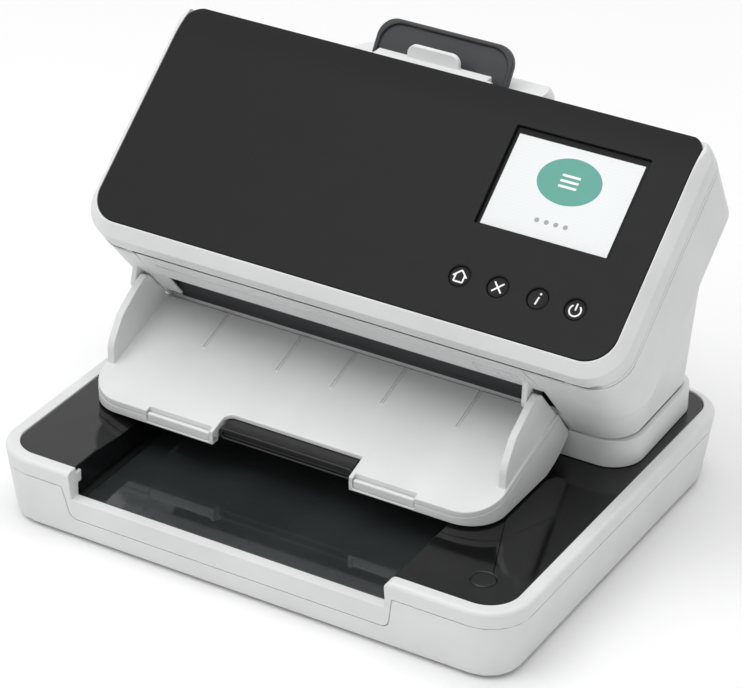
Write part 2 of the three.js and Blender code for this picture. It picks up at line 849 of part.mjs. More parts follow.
function hingeLeaf(x0, x1, n0, n1) {
  return join(
    rod(hingeS, hingeN, knuckleRadius, x0, x1, smallSteps),
    block(x0, x1, hingeS - knuckleRadius, hingeS + knuckleRadius, n0, n1),
  );
}
const hingeBore = rod(hingeS, hingeN, pinRadius + gap, -farSide, farSide, smallSteps);

// Lug that carries the output tray in front of the chin, from an outline round the pivot
const [lugS, lugN] = toHead(outPivotY, outPivotZ);
const lugRoot = -headFront + shellWall / 2;
function trayLug(x0, x1, rootTop, rootLow) {
  const outline = hull([
    ...circle(lugS, lugN, outPivotRound - gap, smallSteps), [lugRoot, rootTop], [lugRoot, rootLow],
  ]);
  return inTable(run(outline, x0, x1));
}
const outPin = (x0, x1) => rod(outPivotY, outPivotZ, outPivotPin, x0, x1, smallSteps);
const flangeOutLeft = outLeft + flangeInset;
const flangeInRight = outRight - flangeInset - flangeThick;
const lugLeft = flangeOutLeft - lugGap;
const lugRight = flangeInRight - lugGap;

function sideCover(side) {
  const zone = side < 0
    ? block(-farSide, seamRightTop, -farSide, farSide, 0, 2 * farSide)
    : block(seamLeftTop, farSide, -farSide, farSide, 0, 2 * farSide);
  const [x0, x1] = side < 0 ? [-earEnd, -knuckleEnd - gap] : [knuckleEnd + gap, earEnd];
  const ear = inTable(common(
    hingeLeaf(x0, x1, chinTop - 2 * shellWall, hingeN),
    block(-farSide, farSide, -headFront, headFront, deepest, 0),
  ));
  const cover = join(cut(common(cut(housingShell, middleZone(gap / 2)), zone), hingeCut), ear);
  return cut(cover, inTable(hingeBore));
}

function leftSideCover() {
  const lug = trayLug(lugLeft - lugWide, lugLeft, lugN + 2 * outPivotRound, lugN - outPivotRound);
  return join(sideCover(-1), lug, outPin(lugLeft - gap, flangeOutLeft + flangeThick));
}
addPiece(scanner, 'left_side_cover', leftSideCover(), 'white');
addPiece(scanner, 'right_side_cover', sideCover(1), 'white');

const middleShell = common(housingShell, middleZone(-gap / 2));

function exitChin() {
  const front = headBlock(-farSide, farSide, -overrun, chinBack, lipLow, overrun);
  const lug = trayLug(lugRight - lugWide, lugRight, lipLow + 2 * outPivotRound, lipLow + gap);
  const lip = cut(common(middleShell, front), hingeCut);
  return join(lip, lug, outPin(lugRight - gap, flangeInRight + flangeThick));
}
addPiece(scanner, 'exit_chin', exitChin(), 'white');

const [earS, earN] = [trayPivotS, trayPivotN];
const earInnerLeft = pathLeft + trayEar;
const earInnerRight = pathRight - trayEar;
const pivotHole = rod(earS, earN, trayStub + gap, pathLeft - overrun, pathRight + overrun, smallSteps);

function rearCover() {
  const back = headBlock(-farSide, farSide, lowerBack / 2, housingReach, deepest, earN - shellWall);
  const wallBack = block(-farSide, farSide, (footFront + footBack) / 2, 2 * farSide, 0, headZ);
  const skin = common(middleShell, join(back, wallBack));
  const root = hull([
    ...circle(earS, earN, trayEarRound, smallSteps),
    [earS - 4 * trayEarRound, -housingDepth + shellWall / 2],
    [earS - 4 * trayEarRound, -housingDepth + 2 * shellWall],
    [earS - 2 * trayEarRound, -housingDepth + shellWall / 2],
  ]);
  const ears = [[pathLeft, earInnerLeft], [earInnerRight, pathRight]].map(([x0, x1]) => inTable(
    cut(run(root, x0, x1), pivotHole),
  ));
  return join(skin, ...ears);
}
addPiece(scanner, 'rear_cover', rearCover(), 'white');

const boardTopZ = rimTop + footFloor + mainBoardLift + boardThick;
const footLowZ = deckTop + gap;
const socketSides = [[inletX, inletHalf], [socketX, socketHalf]];

function foot() {
  const path = (inset) => rounded([
    [-footHalfFront + inset, footFront + inset, footCornerFront - inset],
    [footHalfFront - inset, footFront + inset, footCornerFront - inset],
    [footHalfBack - inset, footBack - inset, footCornerBack - inset],
    [-footHalfBack + inset, footBack - inset, footCornerBack - inset],
  ]);
  const floorTop = footLowZ + footFloor;
  const skirt = cut(
    raised(path(0), footLowZ, footTop),
    raised(path(footLedge + shellWall), floorTop, footTop + overrun),
  );
  const chinWall = common(middleShell, headBlock(-farSide, farSide, -overrun, chinBack, deepest, mouthLow));
  const wallFront = footFront + footLedge;
  const bridge = block(
    seamLeftLow + gap, seamRightLow - gap, wallFront,
    wallFront + shellWall, footTop - shellWall, lowerFloor + gap,
  );
  const apronBack = fromHead(guideNose + shellWall, pathN - pathRoom - guideNoseDrop - 2 * gap);
  const apronLow = fromHead(-headFront + shellWall, mouthLow - shellWall);
  const apron = run([
    apronLow,
    [apronLow[0] + shellWall, apronLow[1]],
    [apronBack[0] + shellWall, apronBack[1]],
    apronBack,
  ], pathLeft, pathRight);
  const postInset = 2 * postRadius;
  const postPlaces = [mainBoardLeft + postInset, mainBoardRight - postInset].flatMap(
    (x) => [mainBoardFront + postInset, mainBoardBack - postInset].map((y) => [x, y]),
  );
  const posts = postPlaces.map(([x, y]) => post(
    x, y, postRadius, floorTop - gap, boardTopZ - boardThick - gap, smallSteps,
  ));
  const holes = socketSides.map(([x, half]) => block(
    x - half - gap, x + half + gap, mainBoardBack, footBack + overrun,
    boardTopZ, boardTopZ + socketHigh + 2 * gap,
  ));
  return cut(join(skirt, chinWall, bridge, apron, ...posts), ...holes);
}
addPiece(scanner, 'foot', foot(), 'white');

// Inner frames that carry the rollers, in the head frame

const midTyres = [-innerTyre / 2, innerTyre / 2];
const fourTyres = [-outerTyre, -innerTyre, innerTyre, outerTyre];
const rollers = [
  { name: 'feed_roller', s: feedS, radius: feedRadius, tyres: midTyres },
  { name: 'drive_roller', s: driveS, radius: driveRadius, tyres: fourTyres },
  { name: 'exit_roller', s: exitS, radius: exitRadius, tyres: fourTyres },
];
const rollerN = (radius) => pathN - gap / 2 - radius;
const tyreSpans = (tyres, room = 0) => tyres.map((x) => [
  pathCentre + x - tyreWide / 2 - room, pathCentre + x + tyreWide / 2 + room,
]);
const [motorS, motorN] = toHead(motorY, motorZ);

function framePlate(x0, x1) {
  const frontTop = pathN - pathRoom - 2 * gap;
  const under = -housingDepth + shellWall + 3 * gap;
  const floor = footLowZ + footFloor + gap;
  const legFront = toHead(footFront + 4 * shellWall, floor);
  const legBack = toHead(footBack - 4 * shellWall, floor);
  const legBackUp = toHead(footBack - 5 * shellWall, footTop);
  const plate = run([
    [chinBack + shellWall, frontTop],
    [chinBack + shellWall, mouthLow - 4 * shellWall],
    legFront, legBack, legBackUp,
    [lowerBack - 3 * shellWall, under],
    [earS - 3 * trayEarRound, under],
    [earS - 3 * trayEarRound, frontTop],
  ], x0, x1);
  const bores = rollers.map(
    ({ s, radius }) => rod(s, rollerN(radius), shaftRadius + gap, x0 - overrun, x1 + overrun),
  );
  return cut(plate, ...bores);
}
const leftFrameX = [pathLeft - gap - frameSheet, pathLeft - gap];
const rightFrameX = [pathRight + gap, pathRight + gap + frameSheet];
addPiece(head, 'left_frame', framePlate(...leftFrameX), 'steel');
addPiece(head, 'right_frame', cut(
  framePlate(...rightFrameX),
  rod(motorS, motorN, motorShaftRadius + 2 * gap, rightFrameX[0] - overrun, rightFrameX[1] + overrun),
), 'steel');

const guideTop = pathN - pathRoom;
const guideLow = guideTop - guideSheet;
const rackTop = guideTop - gap;
const rackLow = rackTop - rackThick;
const laneLeft = [pinionS + pinionRadius + gap, pinionS + pinionRadius + gap + rackWide];
const laneRight = [pinionS - pinionRadius - gap - rackWide, pinionS - pinionRadius - gap];

function lowerGuide() {
  const noseLow = guideTop - guideNoseDrop;
  const profile = rounded([
    [guideBack, guideLow], [guideBack, guideTop], [guideNose, guideTop, guideSheet],
    [guideNose, noseLow], [guideNose + shellWall, noseLow], [guideNose + shellWall, guideLow],
  ]);
  const windows = rollers.flatMap(({ s, radius, tyres }) => tyreSpans(tyres, 2 * gap).map(([x0, x1]) => block(
    x0, x1, s - radius - 2 * gap, s + radius + 2 * gap, guideTop - 2 * radius - 2 * gap, guideTop + overrun,
  )));
  const sensorSlot = block(
    pathLeft - overrun, pathRight + overrun, sensorStart - gap, sensorStart + sensorWide + gap,
    guideLow - overrun, guideTop - gap,
  );
  const rackRoom = block(
    pathLeft + trayEar, pathRight - trayEar, laneRight[0] - gap,
    laneLeft[1] + gap, rackLow - gap, guideTop + overrun,
  );
  const shafts = rollers.map(({ s, radius }) => rod(
    s, rollerN(radius), shaftRadius + 2 * gap, pathLeft - overrun, pathRight + overrun, smallSteps,
  ));
  const pinionHole = post(pathCentre, pinionS, pinionPost + gap, guideLow - overrun, guideTop, smallSteps);
  return cut(
    run(profile.reverse(), pathLeft, pathRight), ...windows, sensorSlot, rackRoom, pinionHole, ...shafts,
  );
}
addPiece(head, 'lower_guide', lowerGuide(), 'black');
addPiece(head, 'rear_image_sensor', block(
  pathLeft, pathRight, sensorStart, sensorStart + sensorWide,
  guideTop - gap - gap - sensorDeep, guideTop - 2 * gap,
), 'charcoal');

rollers.forEach(({ name, s, radius, tyres }) => {
  const n = rollerN(radius);
  const pulleyX = rightFrameX[1] + pulleyStart;
  addPiece(head, name, join(
    rod(s, n, shaftRadius, leftFrameX[0] - gap, pulleyX + pulleyWide + gap, smallSteps),
    ...tyreSpans(tyres).map(([x0, x1]) => rod(s, n, radius, x0, x1)),
    rod(s, n, radius - pulleyStep, pulleyX, pulleyX + pulleyWide),
  ), 'rubber');
});

const pulleyX0 = rightFrameX[1] + pulleyStart;
const beltWheels = [
  ...rollers.map(({ s, radius }) => [s, rollerN(radius), radius - pulleyStep]), [motorS, motorN, motorPulley],
];

function driveBelt() {
  const ring = (grow) => hull(beltWheels.flatMap(([s, n, radius]) => circle(s, n, radius + grow)));
  return cut(
    run(ring(gap + driveBeltThick), pulleyX0 + gap, pulleyX0 + pulleyWide - gap),
    run(ring(gap), pulleyX0 - overrun, pulleyX0 + pulleyWide + overrun),
  );
}
addPiece(head, 'drive_belt', driveBelt(), 'rubber');
addPiece(head, 'motor_shaft', join(
  rod(motorS, motorN, motorShaftRadius, pathRight - motorLong / 2, pulleyX0 + pulleyWide, smallSteps),
  rod(motorS, motorN, motorPulley, pulleyX0, pulleyX0 + pulleyWide),
), 'steel');
addPiece(head, 'main_motor', cut(
  join(
    rod(motorS, motorN, motorRadius, pathRight - motorLong, pathRight),
    block(
      pathRight - motorFlangeThick, pathRight, motorS - motorFlange, motorS + motorFlange,
      motorN - motorRadius / 2, motorN + motorRadius / 2,
    ),
  ),
  rod(motorS, motorN, motorShaftRadius + gap, pathRight - motorLong / 2 - gap, pathRight + overrun),
), 'steel');

addPiece(scanner, 'main_board', block(
  mainBoardLeft, mainBoardRight, mainBoardFront, mainBoardBack, boardTopZ - boardThick, boardTopZ,
), 'board');
const socketNames = ['power_inlet', 'data_socket'];
socketSides.forEach(([x, half], i) => {
  const front = footBack - socketLong;
  const body = block(
    x - half, x + half, front, footBack - gap, boardTopZ + gap, boardTopZ + gap + socketHigh,
  );
  const mouth = block(
    x - half + footLedge, x + half - footLedge, front + 2 * footFloor, footBack + overrun,
    boardTopZ + gap + footLedge, boardTopZ + gap + socketHigh - footLedge,
  );
  addPiece(scanner, socketNames[i], cut(body, mouth), 'charcoal');
});

function speaker() {
  const back = -headFront + housingFrontRise + shellWall + 2 * gap;
  return deep(circle(speakerX, speakerN, speakerRadius), back, back + speakerDeep);
}
addPiece(head, 'speaker', speaker(), 'charcoal');

// Cover: bezel, panel, display and buttons, in the head frame

function bezelRing(side, low, high, depth, corner, topCorner) {
  const w = headHalfWidth - side;
  return rounded([
    [-w, -headFront + low, corner], [w, -headFront + low, corner],
    [w, bezelBack + high, topCorner], [-w, bezelBack + high, topCorner],
  ]).map(([x, s]) => new THREE.Vector3(x, s, -depth));
}

// The panel's face: flat, then turned down to the rear on a radius
function faceLine(drop, start, end) {
  const radius = panelRadius - drop;
  const last = Math.asin((end - panelFlat) / radius);
  const turned = Array.from({ length: arcSteps + 1 }, (_, k) => {
    const angle = (last * k) / arcSteps;
    return [panelFlat + radius * Math.sin(angle), -panelRadius + radius * Math.cos(angle)];
  });
  return [[start, -drop], ...turned];
}
const underFace = (drop, start, end, depth) => {
  const face = faceLine(drop, start, end);
  const last = face[face.length - 1];
  return [[start, -depth], [last[0], -depth], ...face.reverse()];
};

function frontBezel() {
  const outside = lofted([
    bezelRing(0, 0, 0, bezelDepth, bezelCorner, bezelTopCorner),
    bezelRing(0, 0, 0, bevelDepth, bezelCorner, bezelTopCorner),
    bezelRing(
      headHalfWidth - panelHalfWidth - panelLip - gap, headFront - panelLip, 0, 0,
      panelCorner + panelLip, panelTopCorner + panelLip,
    ),
  ]);
  const side = run(underFace(0, -2 * headFront, panelEnd, 2 * bezelDepth), -farSide, farSide);
  const recess = common(
    raised(rounded([
      [-panelHalfWidth - gap, 0, panelCorner], [panelHalfWidth + gap, 0, panelCorner],
      [panelHalfWidth + gap, bezelBack + overrun, 0], [-panelHalfWidth - gap, bezelBack + overrun, 0],
    ]), -overrun, overrun),
    cut(
      block(-farSide, farSide, -overrun, bezelBack + overrun, -overrun, overrun),
      run(underFace(panelThick + gap, -2 * overrun, bezelBack + 1.5 * gap, 2 * overrun), -farSide, farSide),
    ),
  );
  const seat = 3 * bezelWall;
  const under = panelThick + gap + bezelWall / 2;
  const w = headHalfWidth - bezelWall;
  const room = raised(rounded([
    [-w, -headFront + bezelWall, bezelCorner - bezelWall],
    [w, -headFront + bezelWall, bezelCorner - bezelWall],
    [w, bezelBack - bezelWall, bezelTopCorner - bezelWall],
    [-w, bezelBack - bezelWall, bezelTopCorner - bezelWall],
  ]), -overrun, -bevelDepth - bezelWall);
  const window = raised(rounded(box2(
    -panelHalfWidth + bezelWall, panelHalfWidth - bezelWall,
    bezelWall, panelFlat + bezelCorner / 2, panelCorner,
  )), -overrun, -under + bezelWall);
  const earRoom = [[-earEnd - gap / 2, -knuckleEnd - gap / 2], [knuckleEnd + gap / 2, earEnd + gap / 2]].map(
    ([x0, x1]) => join(
      rod(hingeS, hingeN, knuckleRadius + gap, x0, x1, smallSteps),
      block(x0, x1, -headFront - gap, hingeS + knuckleRadius + gap, hingeN - seat, hingeN),
    ),
  );
  const leaves = [[-knuckleEnd, -knuckleStart], [knuckleStart, knuckleEnd]].map(([x0, x1]) => common(
    hingeLeaf(x0, x1, hingeN, hingeN + 1.5 * bezelWall),
    block(x0, x1, -headFront, headFront, -overrun, 0),
  ));
  const [pivotS, pivotN] = toHead(leverY, leverZ);
  const lugs = [-1, 1].map((way) => {
    const near = leverX + way * (leverHalf + gap);
    const far = near + way * leverLugWide;
    const outline = hull([
      ...circle(pivotS, pivotN, leverLug, smallSteps),
      [bezelBack - bezelWall / 2, -bezelDepth + gap], [bezelBack - bezelWall / 2, -bezelDepth + leverLug * 2],
    ]);
    return run(outline, Math.min(near, far), Math.max(near, far));
  });
  const lugBore = rod(pivotS, pivotN, leverPivot + gap, -farSide, farSide, smallSteps);
  const body = cut(common(outside, side), recess, room, window, ...earRoom);
  return cut(join(body, ...leaves, ...lugs), hingeBore, lugBore);
}
addPiece(head, 'front_bezel', frontBezel(), 'white');

const buttons = [
  { name: 'home_button', x: homeX }, { name: 'cancel_button', x: cancelX },
  { name: 'info_button', x: infoX }, { name: 'power_button', x: powerX },
];
const boardBox = {
  left: homeX - boardMargin, right: powerX + boardMargin,
  low: buttonLine - boardMargin, high: buttonLine + boardMargin,
};

function frontPanel() {
  const outline = raised(rounded([
    [-panelHalfWidth, gap, panelCorner], [panelHalfWidth, gap, panelCorner],
    [panelHalfWidth, panelEnd + gap, panelTopCorner], [-panelHalfWidth, panelEnd + gap, panelTopCorner],
  ]), -overrun, overrun);
  const face = cut(
    run(underFace(0, -gap, panelEnd, overrun), -farSide, farSide),
    run(underFace(panelThick, -overrun, panelEnd + gap, 2 * overrun), -farSide, farSide),
  );
  const displayHole = block(displayLeft, displayRight, displayLow, displayHigh, -overrun, overrun);
  const holes = buttons.flatMap(({ x }) => [
    post(x, buttonLine, buttonRadius + gap, -overrun, overrun),
    post(x, buttonLine, buttonDish, -buttonDishDepth, overrun),
  ]);
  const bosses = [boardBox.left + bossRadius, boardBox.right - bossRadius].flatMap((x) => [
    boardBox.low + bossRadius, boardBox.high - bossRadius,
  ].map((s) => post(x, s, bossRadius, -boardDepth + gap, -panelThick + gap, smallSteps)));
  return join(cut(common(outline, face), displayHole, ...holes), ...bosses);
}
addPiece(head, 'front_panel', frontPanel(), 'panel');
addPiece(head, 'display_window', block(
  displayLeft + gap, displayRight - gap, displayLow + gap,
  displayHigh - gap, -displaySunk - displayGlass, -displaySunk,
), 'display');
const moduleTop = -displaySunk - displayGlass - gap;
addPiece(head, 'display_module', block(
  displayLeft - moduleMargin, displayRight + moduleMargin,
  displayLow - moduleMargin, displayHigh + moduleMargin,
  moduleTop - moduleThick, moduleTop,
), 'charcoal');
buttons.forEach(({ name, x }) => {
  const under = -panelThick - gap;
  addPiece(head, name, join(
    post(x, buttonLine, buttonRadius, under - gap, -buttonSunk),
    post(x, buttonLine, buttonRadius + buttonFlange, under - buttonFlangeThick, under),
    post(x, buttonLine, buttonStem, under - buttonFlangeThick - buttonStemLength, under - gap, smallSteps),
  ), 'panel');
});
addPiece(head, 'button_board', block(
  boardBox.left, boardBox.right, boardBox.low, boardBox.high, -boardDepth - boardThick, -boardDepth,
), 'board');

// Cover: inner guide, sensor bar and idle rollers

const coverFace = pathN + pathRoom;
const throatFace = pathN + throatRoom;
const coverBoxLeft = pathLeft + gap;
const coverBoxRight = pathRight - gap;
const flangeLow = coverFlangeTop - coverFlange;
const idlers = [
  { name: 'separation_roller', s: feedS, radius: separationRadius, tyres: midTyres },
  { name: 'pressure_roller', s: driveS, radius: pressureRadius, tyres: fourTyres },
];
const idlerN = (radius) => pathN + gap / 2 + radius;

function coverGuide() {
  const w = headHalfWidth - bezelWall - gap;
  const flange = raised(rounded([
    [-w, -headFront + bezelWall + gap, bezelCorner - bezelWall - gap],
    [w, -headFront + bezelWall + gap, bezelCorner - bezelWall - gap],
    [w, bezelBack - bezelWall - gap, bezelTopCorner - bezelWall - gap],
    [-w, bezelBack - bezelWall - gap, bezelTopCorner - bezelWall - gap],
  ]), flangeLow, coverFlangeTop);
  const back = bezelBack - bezelWall - gap;
  const outer = run(rounded([
    [coverGuideFront, flangeLow + gap], [coverGuideFront, coverFace, shellWall], [throatStart, coverFace],
    [throatStart + throatRoom, throatFace], [back, throatFace], [back, flangeLow + gap],
  ]), coverBoxLeft, coverBoxRight);
  const inner = run([
    [coverGuideFront + coverGuideSheet, flangeLow - gap],
    [coverGuideFront + coverGuideSheet, coverFace + coverGuideSheet],
    [throatStart - coverGuideSheet / 2, coverFace + coverGuideSheet],
    [throatStart + throatRoom - coverGuideSheet / 2, throatFace + coverGuideSheet],
    [back - coverGuideSheet, throatFace + coverGuideSheet],
    [back - coverGuideSheet, flangeLow - gap],
  ], coverBoxLeft + shellWall, coverBoxRight - shellWall);
  const vents = [-1, 1].map((way) => block(
    pathCentre + way * outerTyre - tyreWide, pathCentre + way * outerTyre + tyreWide,
    throatStart, throatStart + tyreWide, flangeLow - 2 * gap, overrun,
  ));
  const windows = idlers.flatMap(({ s, radius, tyres }) => tyreSpans(tyres, 2 * gap).map(([x0, x1]) => block(
    x0, x1, s - radius - 2 * gap, s + radius + 2 * gap,
    coverFace - overrun, coverFace + coverGuideSheet + gap,
  )));
  const bores = idlers.map(({ s, radius }) => rod(
    s, idlerN(radius), idlerShaft + gap, -farSide, farSide, smallSteps,
  ));
  const sensorSlot = block(
    coverBoxLeft + shellWall, coverBoxRight - shellWall, sensorStart - gap, sensorStart + sensorWide + gap,
    coverFace - overrun, coverFace + coverGuideSheet + gap,
  );
  return cut(join(flange, cut(outer, inner)), ...vents, ...windows, ...bores, sensorSlot);
}
addPiece(head, 'cover_guide', coverGuide(), 'black');
addPiece(head, 'front_image_sensor', block(
  coverBoxLeft + shellWall + gap, coverBoxRight - shellWall - gap, sensorStart, sensorStart + sensorWide,
  coverFace + gap, flangeLow - 2 * gap,
), 'charcoal');
idlers.forEach(({ name, s, radius, tyres }) => addPiece(head, name, join(
  rod(s, idlerN(radius), idlerShaft, coverBoxLeft + gap, coverBoxRight - gap, smallSteps),
  ...tyreSpans(tyres).map(([x0, x1]) => rod(s, idlerN(radius), radius, x0, x1)),
), 'rubber'));

const pinSpan = [knuckleStart, earEnd];
addPiece(
  head, 'cover_pin_left', rod(hingeS, hingeN, pinRadius, -pinSpan[1], -pinSpan[0], smallSteps), 'steel',
);
addPiece(
  head, 'cover_pin_right', rod(hingeS, hingeN, pinRadius, pinSpan[0], pinSpan[1], smallSteps), 'steel',
);

function releaseLever() {
  const low = leverTop - leverThick;
  const plate = run([
    [leverY - leverPivot, low], [leverBack, low], [leverBack, leverTop], [leverY - leverPivot, leverTop],
  ], leverX - leverHalf, leverX + leverHalf);
  const tab = deep(rounded([
    [leverX - leverTabHalf, low], [leverX + leverTabHalf, low],
    [leverX + leverTabHalf, leverTabTop, leverTabCorner],
    [leverX - leverTabHalf, leverTabTop, leverTabCorner],
  ]), leverBack - leverThick, leverBack);
  const pivots = rod(
    leverY, leverZ, leverPivot, leverX - leverHalf - gap - leverLugWide,
    leverX + leverHalf + gap + leverLugWide,
    smallSteps,
  );
  return join(plate, tab, pivots);
}
addPiece(scanner, 'release_lever', releaseLever(), 'white');

// Input tray, in its own frame: x, t up the tray, m out of its paper side

const tray = new THREE.Group();
const [trayY, trayZ] = fromHead(trayPivotS, trayPivotN);
tray.position.set(0, trayY, trayZ);
tray.rotation.x = trayTilt;
scanner.add(tray);
const trayLeft = earInnerLeft + 2 * gap;
const trayRight = earInnerRight - 2 * gap;
const trayBackFace = trayFace - trayThick;
const slideLow = trayBackFace + 2 * gap;

function inputTray() {
  const plate = block(trayLeft, trayRight, trayPlateLow, trayPlateTop, trayBackFace, trayFace);
  const pocket = run(rounded([
    [trayPlateTop - gap, trayFace - 2 * gap], [pocketTop, -pocketBack + gap, pocketCorner / 2],
    [pocketTop - pocketCorner, -pocketBack - gap, pocketCorner / 2], [pocketLow, trayBackFace + gap],
  ].reverse()), loopX - pocketHalf, loopX + pocketHalf);
  const arms = [[trayLeft, trayLeft + trayArm], [trayRight - trayArm, trayRight]].map(([x0, x1]) => join(
    rod(0, 0, trayArmRound, x0, x1, smallSteps),
    block(x0, x1, -trayArmRound, trayArmRound, 0, trayBackFace + gap),
  ));
  const stubs = [[pathLeft, trayLeft + gap], [trayRight - gap, pathRight]].map(([x0, x1]) => rod(
    0, 0, trayStub, x0, x1, smallSteps,
  ));
  const half = loopHalf + gap;
  const slide = block(
    loopX - half, loopX + half, loopLow - overrun,
    pocketTop + overrun, slideLow, slideLow + loopThick + 2 * gap,
  );
  const mouth = block(
    loopX - half + loopLip, loopX + half - loopLip, loopLow - overrun,
    pocketTop + overrun, slideLow, trayFace + overrun,
  );
  return cut(join(plate, pocket, ...arms, ...stubs), slide, mouth);
}
addPiece(tray, 'input_tray', inputTray(), 'white');

function trayExtension() {
  const low = slideLow + gap;
  const outline = rounded([
    [loopX - loopHalf, loopLow, loopLip], [loopX + loopHalf, loopLow, loopLip],
    [loopX + loopHalf, loopTop, loopCorner], [loopX - loopHalf, loopTop, loopCorner],
  ]);
  const rimLow = pocketTop + 2 * gap;
  const inner = loopHalf - loopRim;
  const rim = cut(
    raised(rounded([
      [loopX - loopHalf, trayPlateTop + loopRim / 2, 0], [loopX + loopHalf, trayPlateTop + loopRim / 2, 0],
      [loopX + loopHalf, loopTop, loopCorner], [loopX - loopHalf, loopTop, loopCorner],
    ]), low, low + loopThick + loopRimHigh),
    raised(rounded([
      [loopX - inner, loopLow - overrun, 0], [loopX + inner, loopLow - overrun, 0],
      [loopX + inner, loopTop - loopRim, loopCorner - loopRim],
      [loopX - inner, loopTop - loopRim, loopCorner - loopRim],
    ]), low - overrun, low + overrun),
  );
  const ridge = block(
    loopX - inner / 2, loopX + inner / 2, rimLow - loopRim,
    rimLow - loopRim + loopRimHigh, low, low + loopThick + gap,
  );
  return join(raised(outline, low, low + loopThick), rim, ridge);
}
addPiece(tray, 'tray_extension', trayExtension(), 'charcoal');

// Side guides of the throat, in the head frame

function sideGuide(side) {
  const lane = side < 0 ? laneLeft : laneRight;
  const face = pathCentre + side * sideGuideOut;
  const wall = block(
    Math.min(face, face + side * sideGuideWall), Math.max(face, face + side * sideGuideWall),
    sideGuideFront, sideGuideBack, guideTop + gap, throatFace - 2 * gap,
  );
  const rack = [pathCentre - side * rackPast, face + side * sideGuideWall];
  const bar = block(Math.min(...rack), Math.max(...rack), lane[0], lane[1], rackLow, rackTop);
  const foot = block(
    Math.min(face, face + side * sideGuideWall), Math.max(face, face + side * sideGuideWall),
    lane[0], lane[1], rackLow, guideTop + 2 * gap,
  );
  return join(wall, bar, foot);
}
addPiece(head, 'left_side_guide', sideGuide(-1), 'charcoal');
addPiece(head, 'right_side_guide', sideGuide(1), 'charcoal');
addPiece(head, 'guide_pinion', join(
  post(pathCentre, pinionS, pinionRadius, rackLow, rackTop),
  post(pathCentre, pinionS, pinionPost, guideLow, rackTop, smallSteps),
), 'white');

// Output tray, its extension and end stops, in the table frame

const floorZ = (y) => outFloorZ + (y - outFloorY) * outSlope;
const chinLeanY = (fromHead(0, -1)[0] - headY) / (fromHead(0, -1)[1] - headZ);
const chinY = (z) => chinFloorY + (z - footTop) * chinLeanY - chinClear * 2;
const outTop = outPivotZ + outPivotRound;
const frontRimZ = floorZ(outFront);

// Everything in front of the chin and above the sweep of the tray's lower back edge
function trayRoom() {
  const reach = outTop + overrun;
  const front = run([
    [outFront - overrun, 0], [footFront - chinClear * 2, 0], [footFront - chinClear * 2, footTop],
    [chinY(footTop), footTop], [chinY(reach), reach], [outFront - overrun, reach],
  ], -farSide, farSide);
  const sweep = cut(
    block(-farSide, farSide, outPivotY, footBack, 0, outPivotZ),
    rod(outPivotY, outPivotZ, outSweep, -farSide, farSide, 2 * roundSteps),
  );
  return cut(front, sweep);
}

const outPlan = (inset) => rounded([
  [outLeft + inset, outFront + inset, outCorner - inset],
  [outRight - inset, outFront + inset, outCorner - inset],
  [outRight - inset, footBack, 0], [outLeft + inset, footBack, 0],
]);

function flange(x0) {
  const back = [chinY(outFloorZ) - gap, outFloorZ];
  const low = floorZ(flangeFrontY) - outFloor / 2;
  const outline = rounded([
    [flangeFrontY, low], [back[0], back[1] - outFloor], back,
    [outPivotY + outPivotRound * cosHead, outPivotZ + outPivotRound * sinHead],
    [outPivotY, outTop, outPivotRound / 2],
    [outPivotY - 2 * outPivotRound, outPivotZ, 3 * outPivotRound],
    [flangeFrontY + 2 * outPivotRound, outPivotZ - 2 * outPivotRound, 2 * outPivotRound],
    [flangeFrontY, outPivotZ - 5 * outPivotRound, 3 * outPivotRound],
  ]);
  return run(outline, x0, x0 + flangeThick);
}

const gripPlaneTop = (y) => floorZ(y) - outFloor - gap;
const stops = [
  { name: 'left_end_stop', x0: stopLeftA, x1: stopLeftB },
  { name: 'right_end_stop', x0: stopRightA, x1: stopRightB },
];
const stopTop = frontRimZ - stopDrop;
const stopPivotY = outFront + stopThick / 2;
const stopPivotZ = stopTop - stopThick / 2;

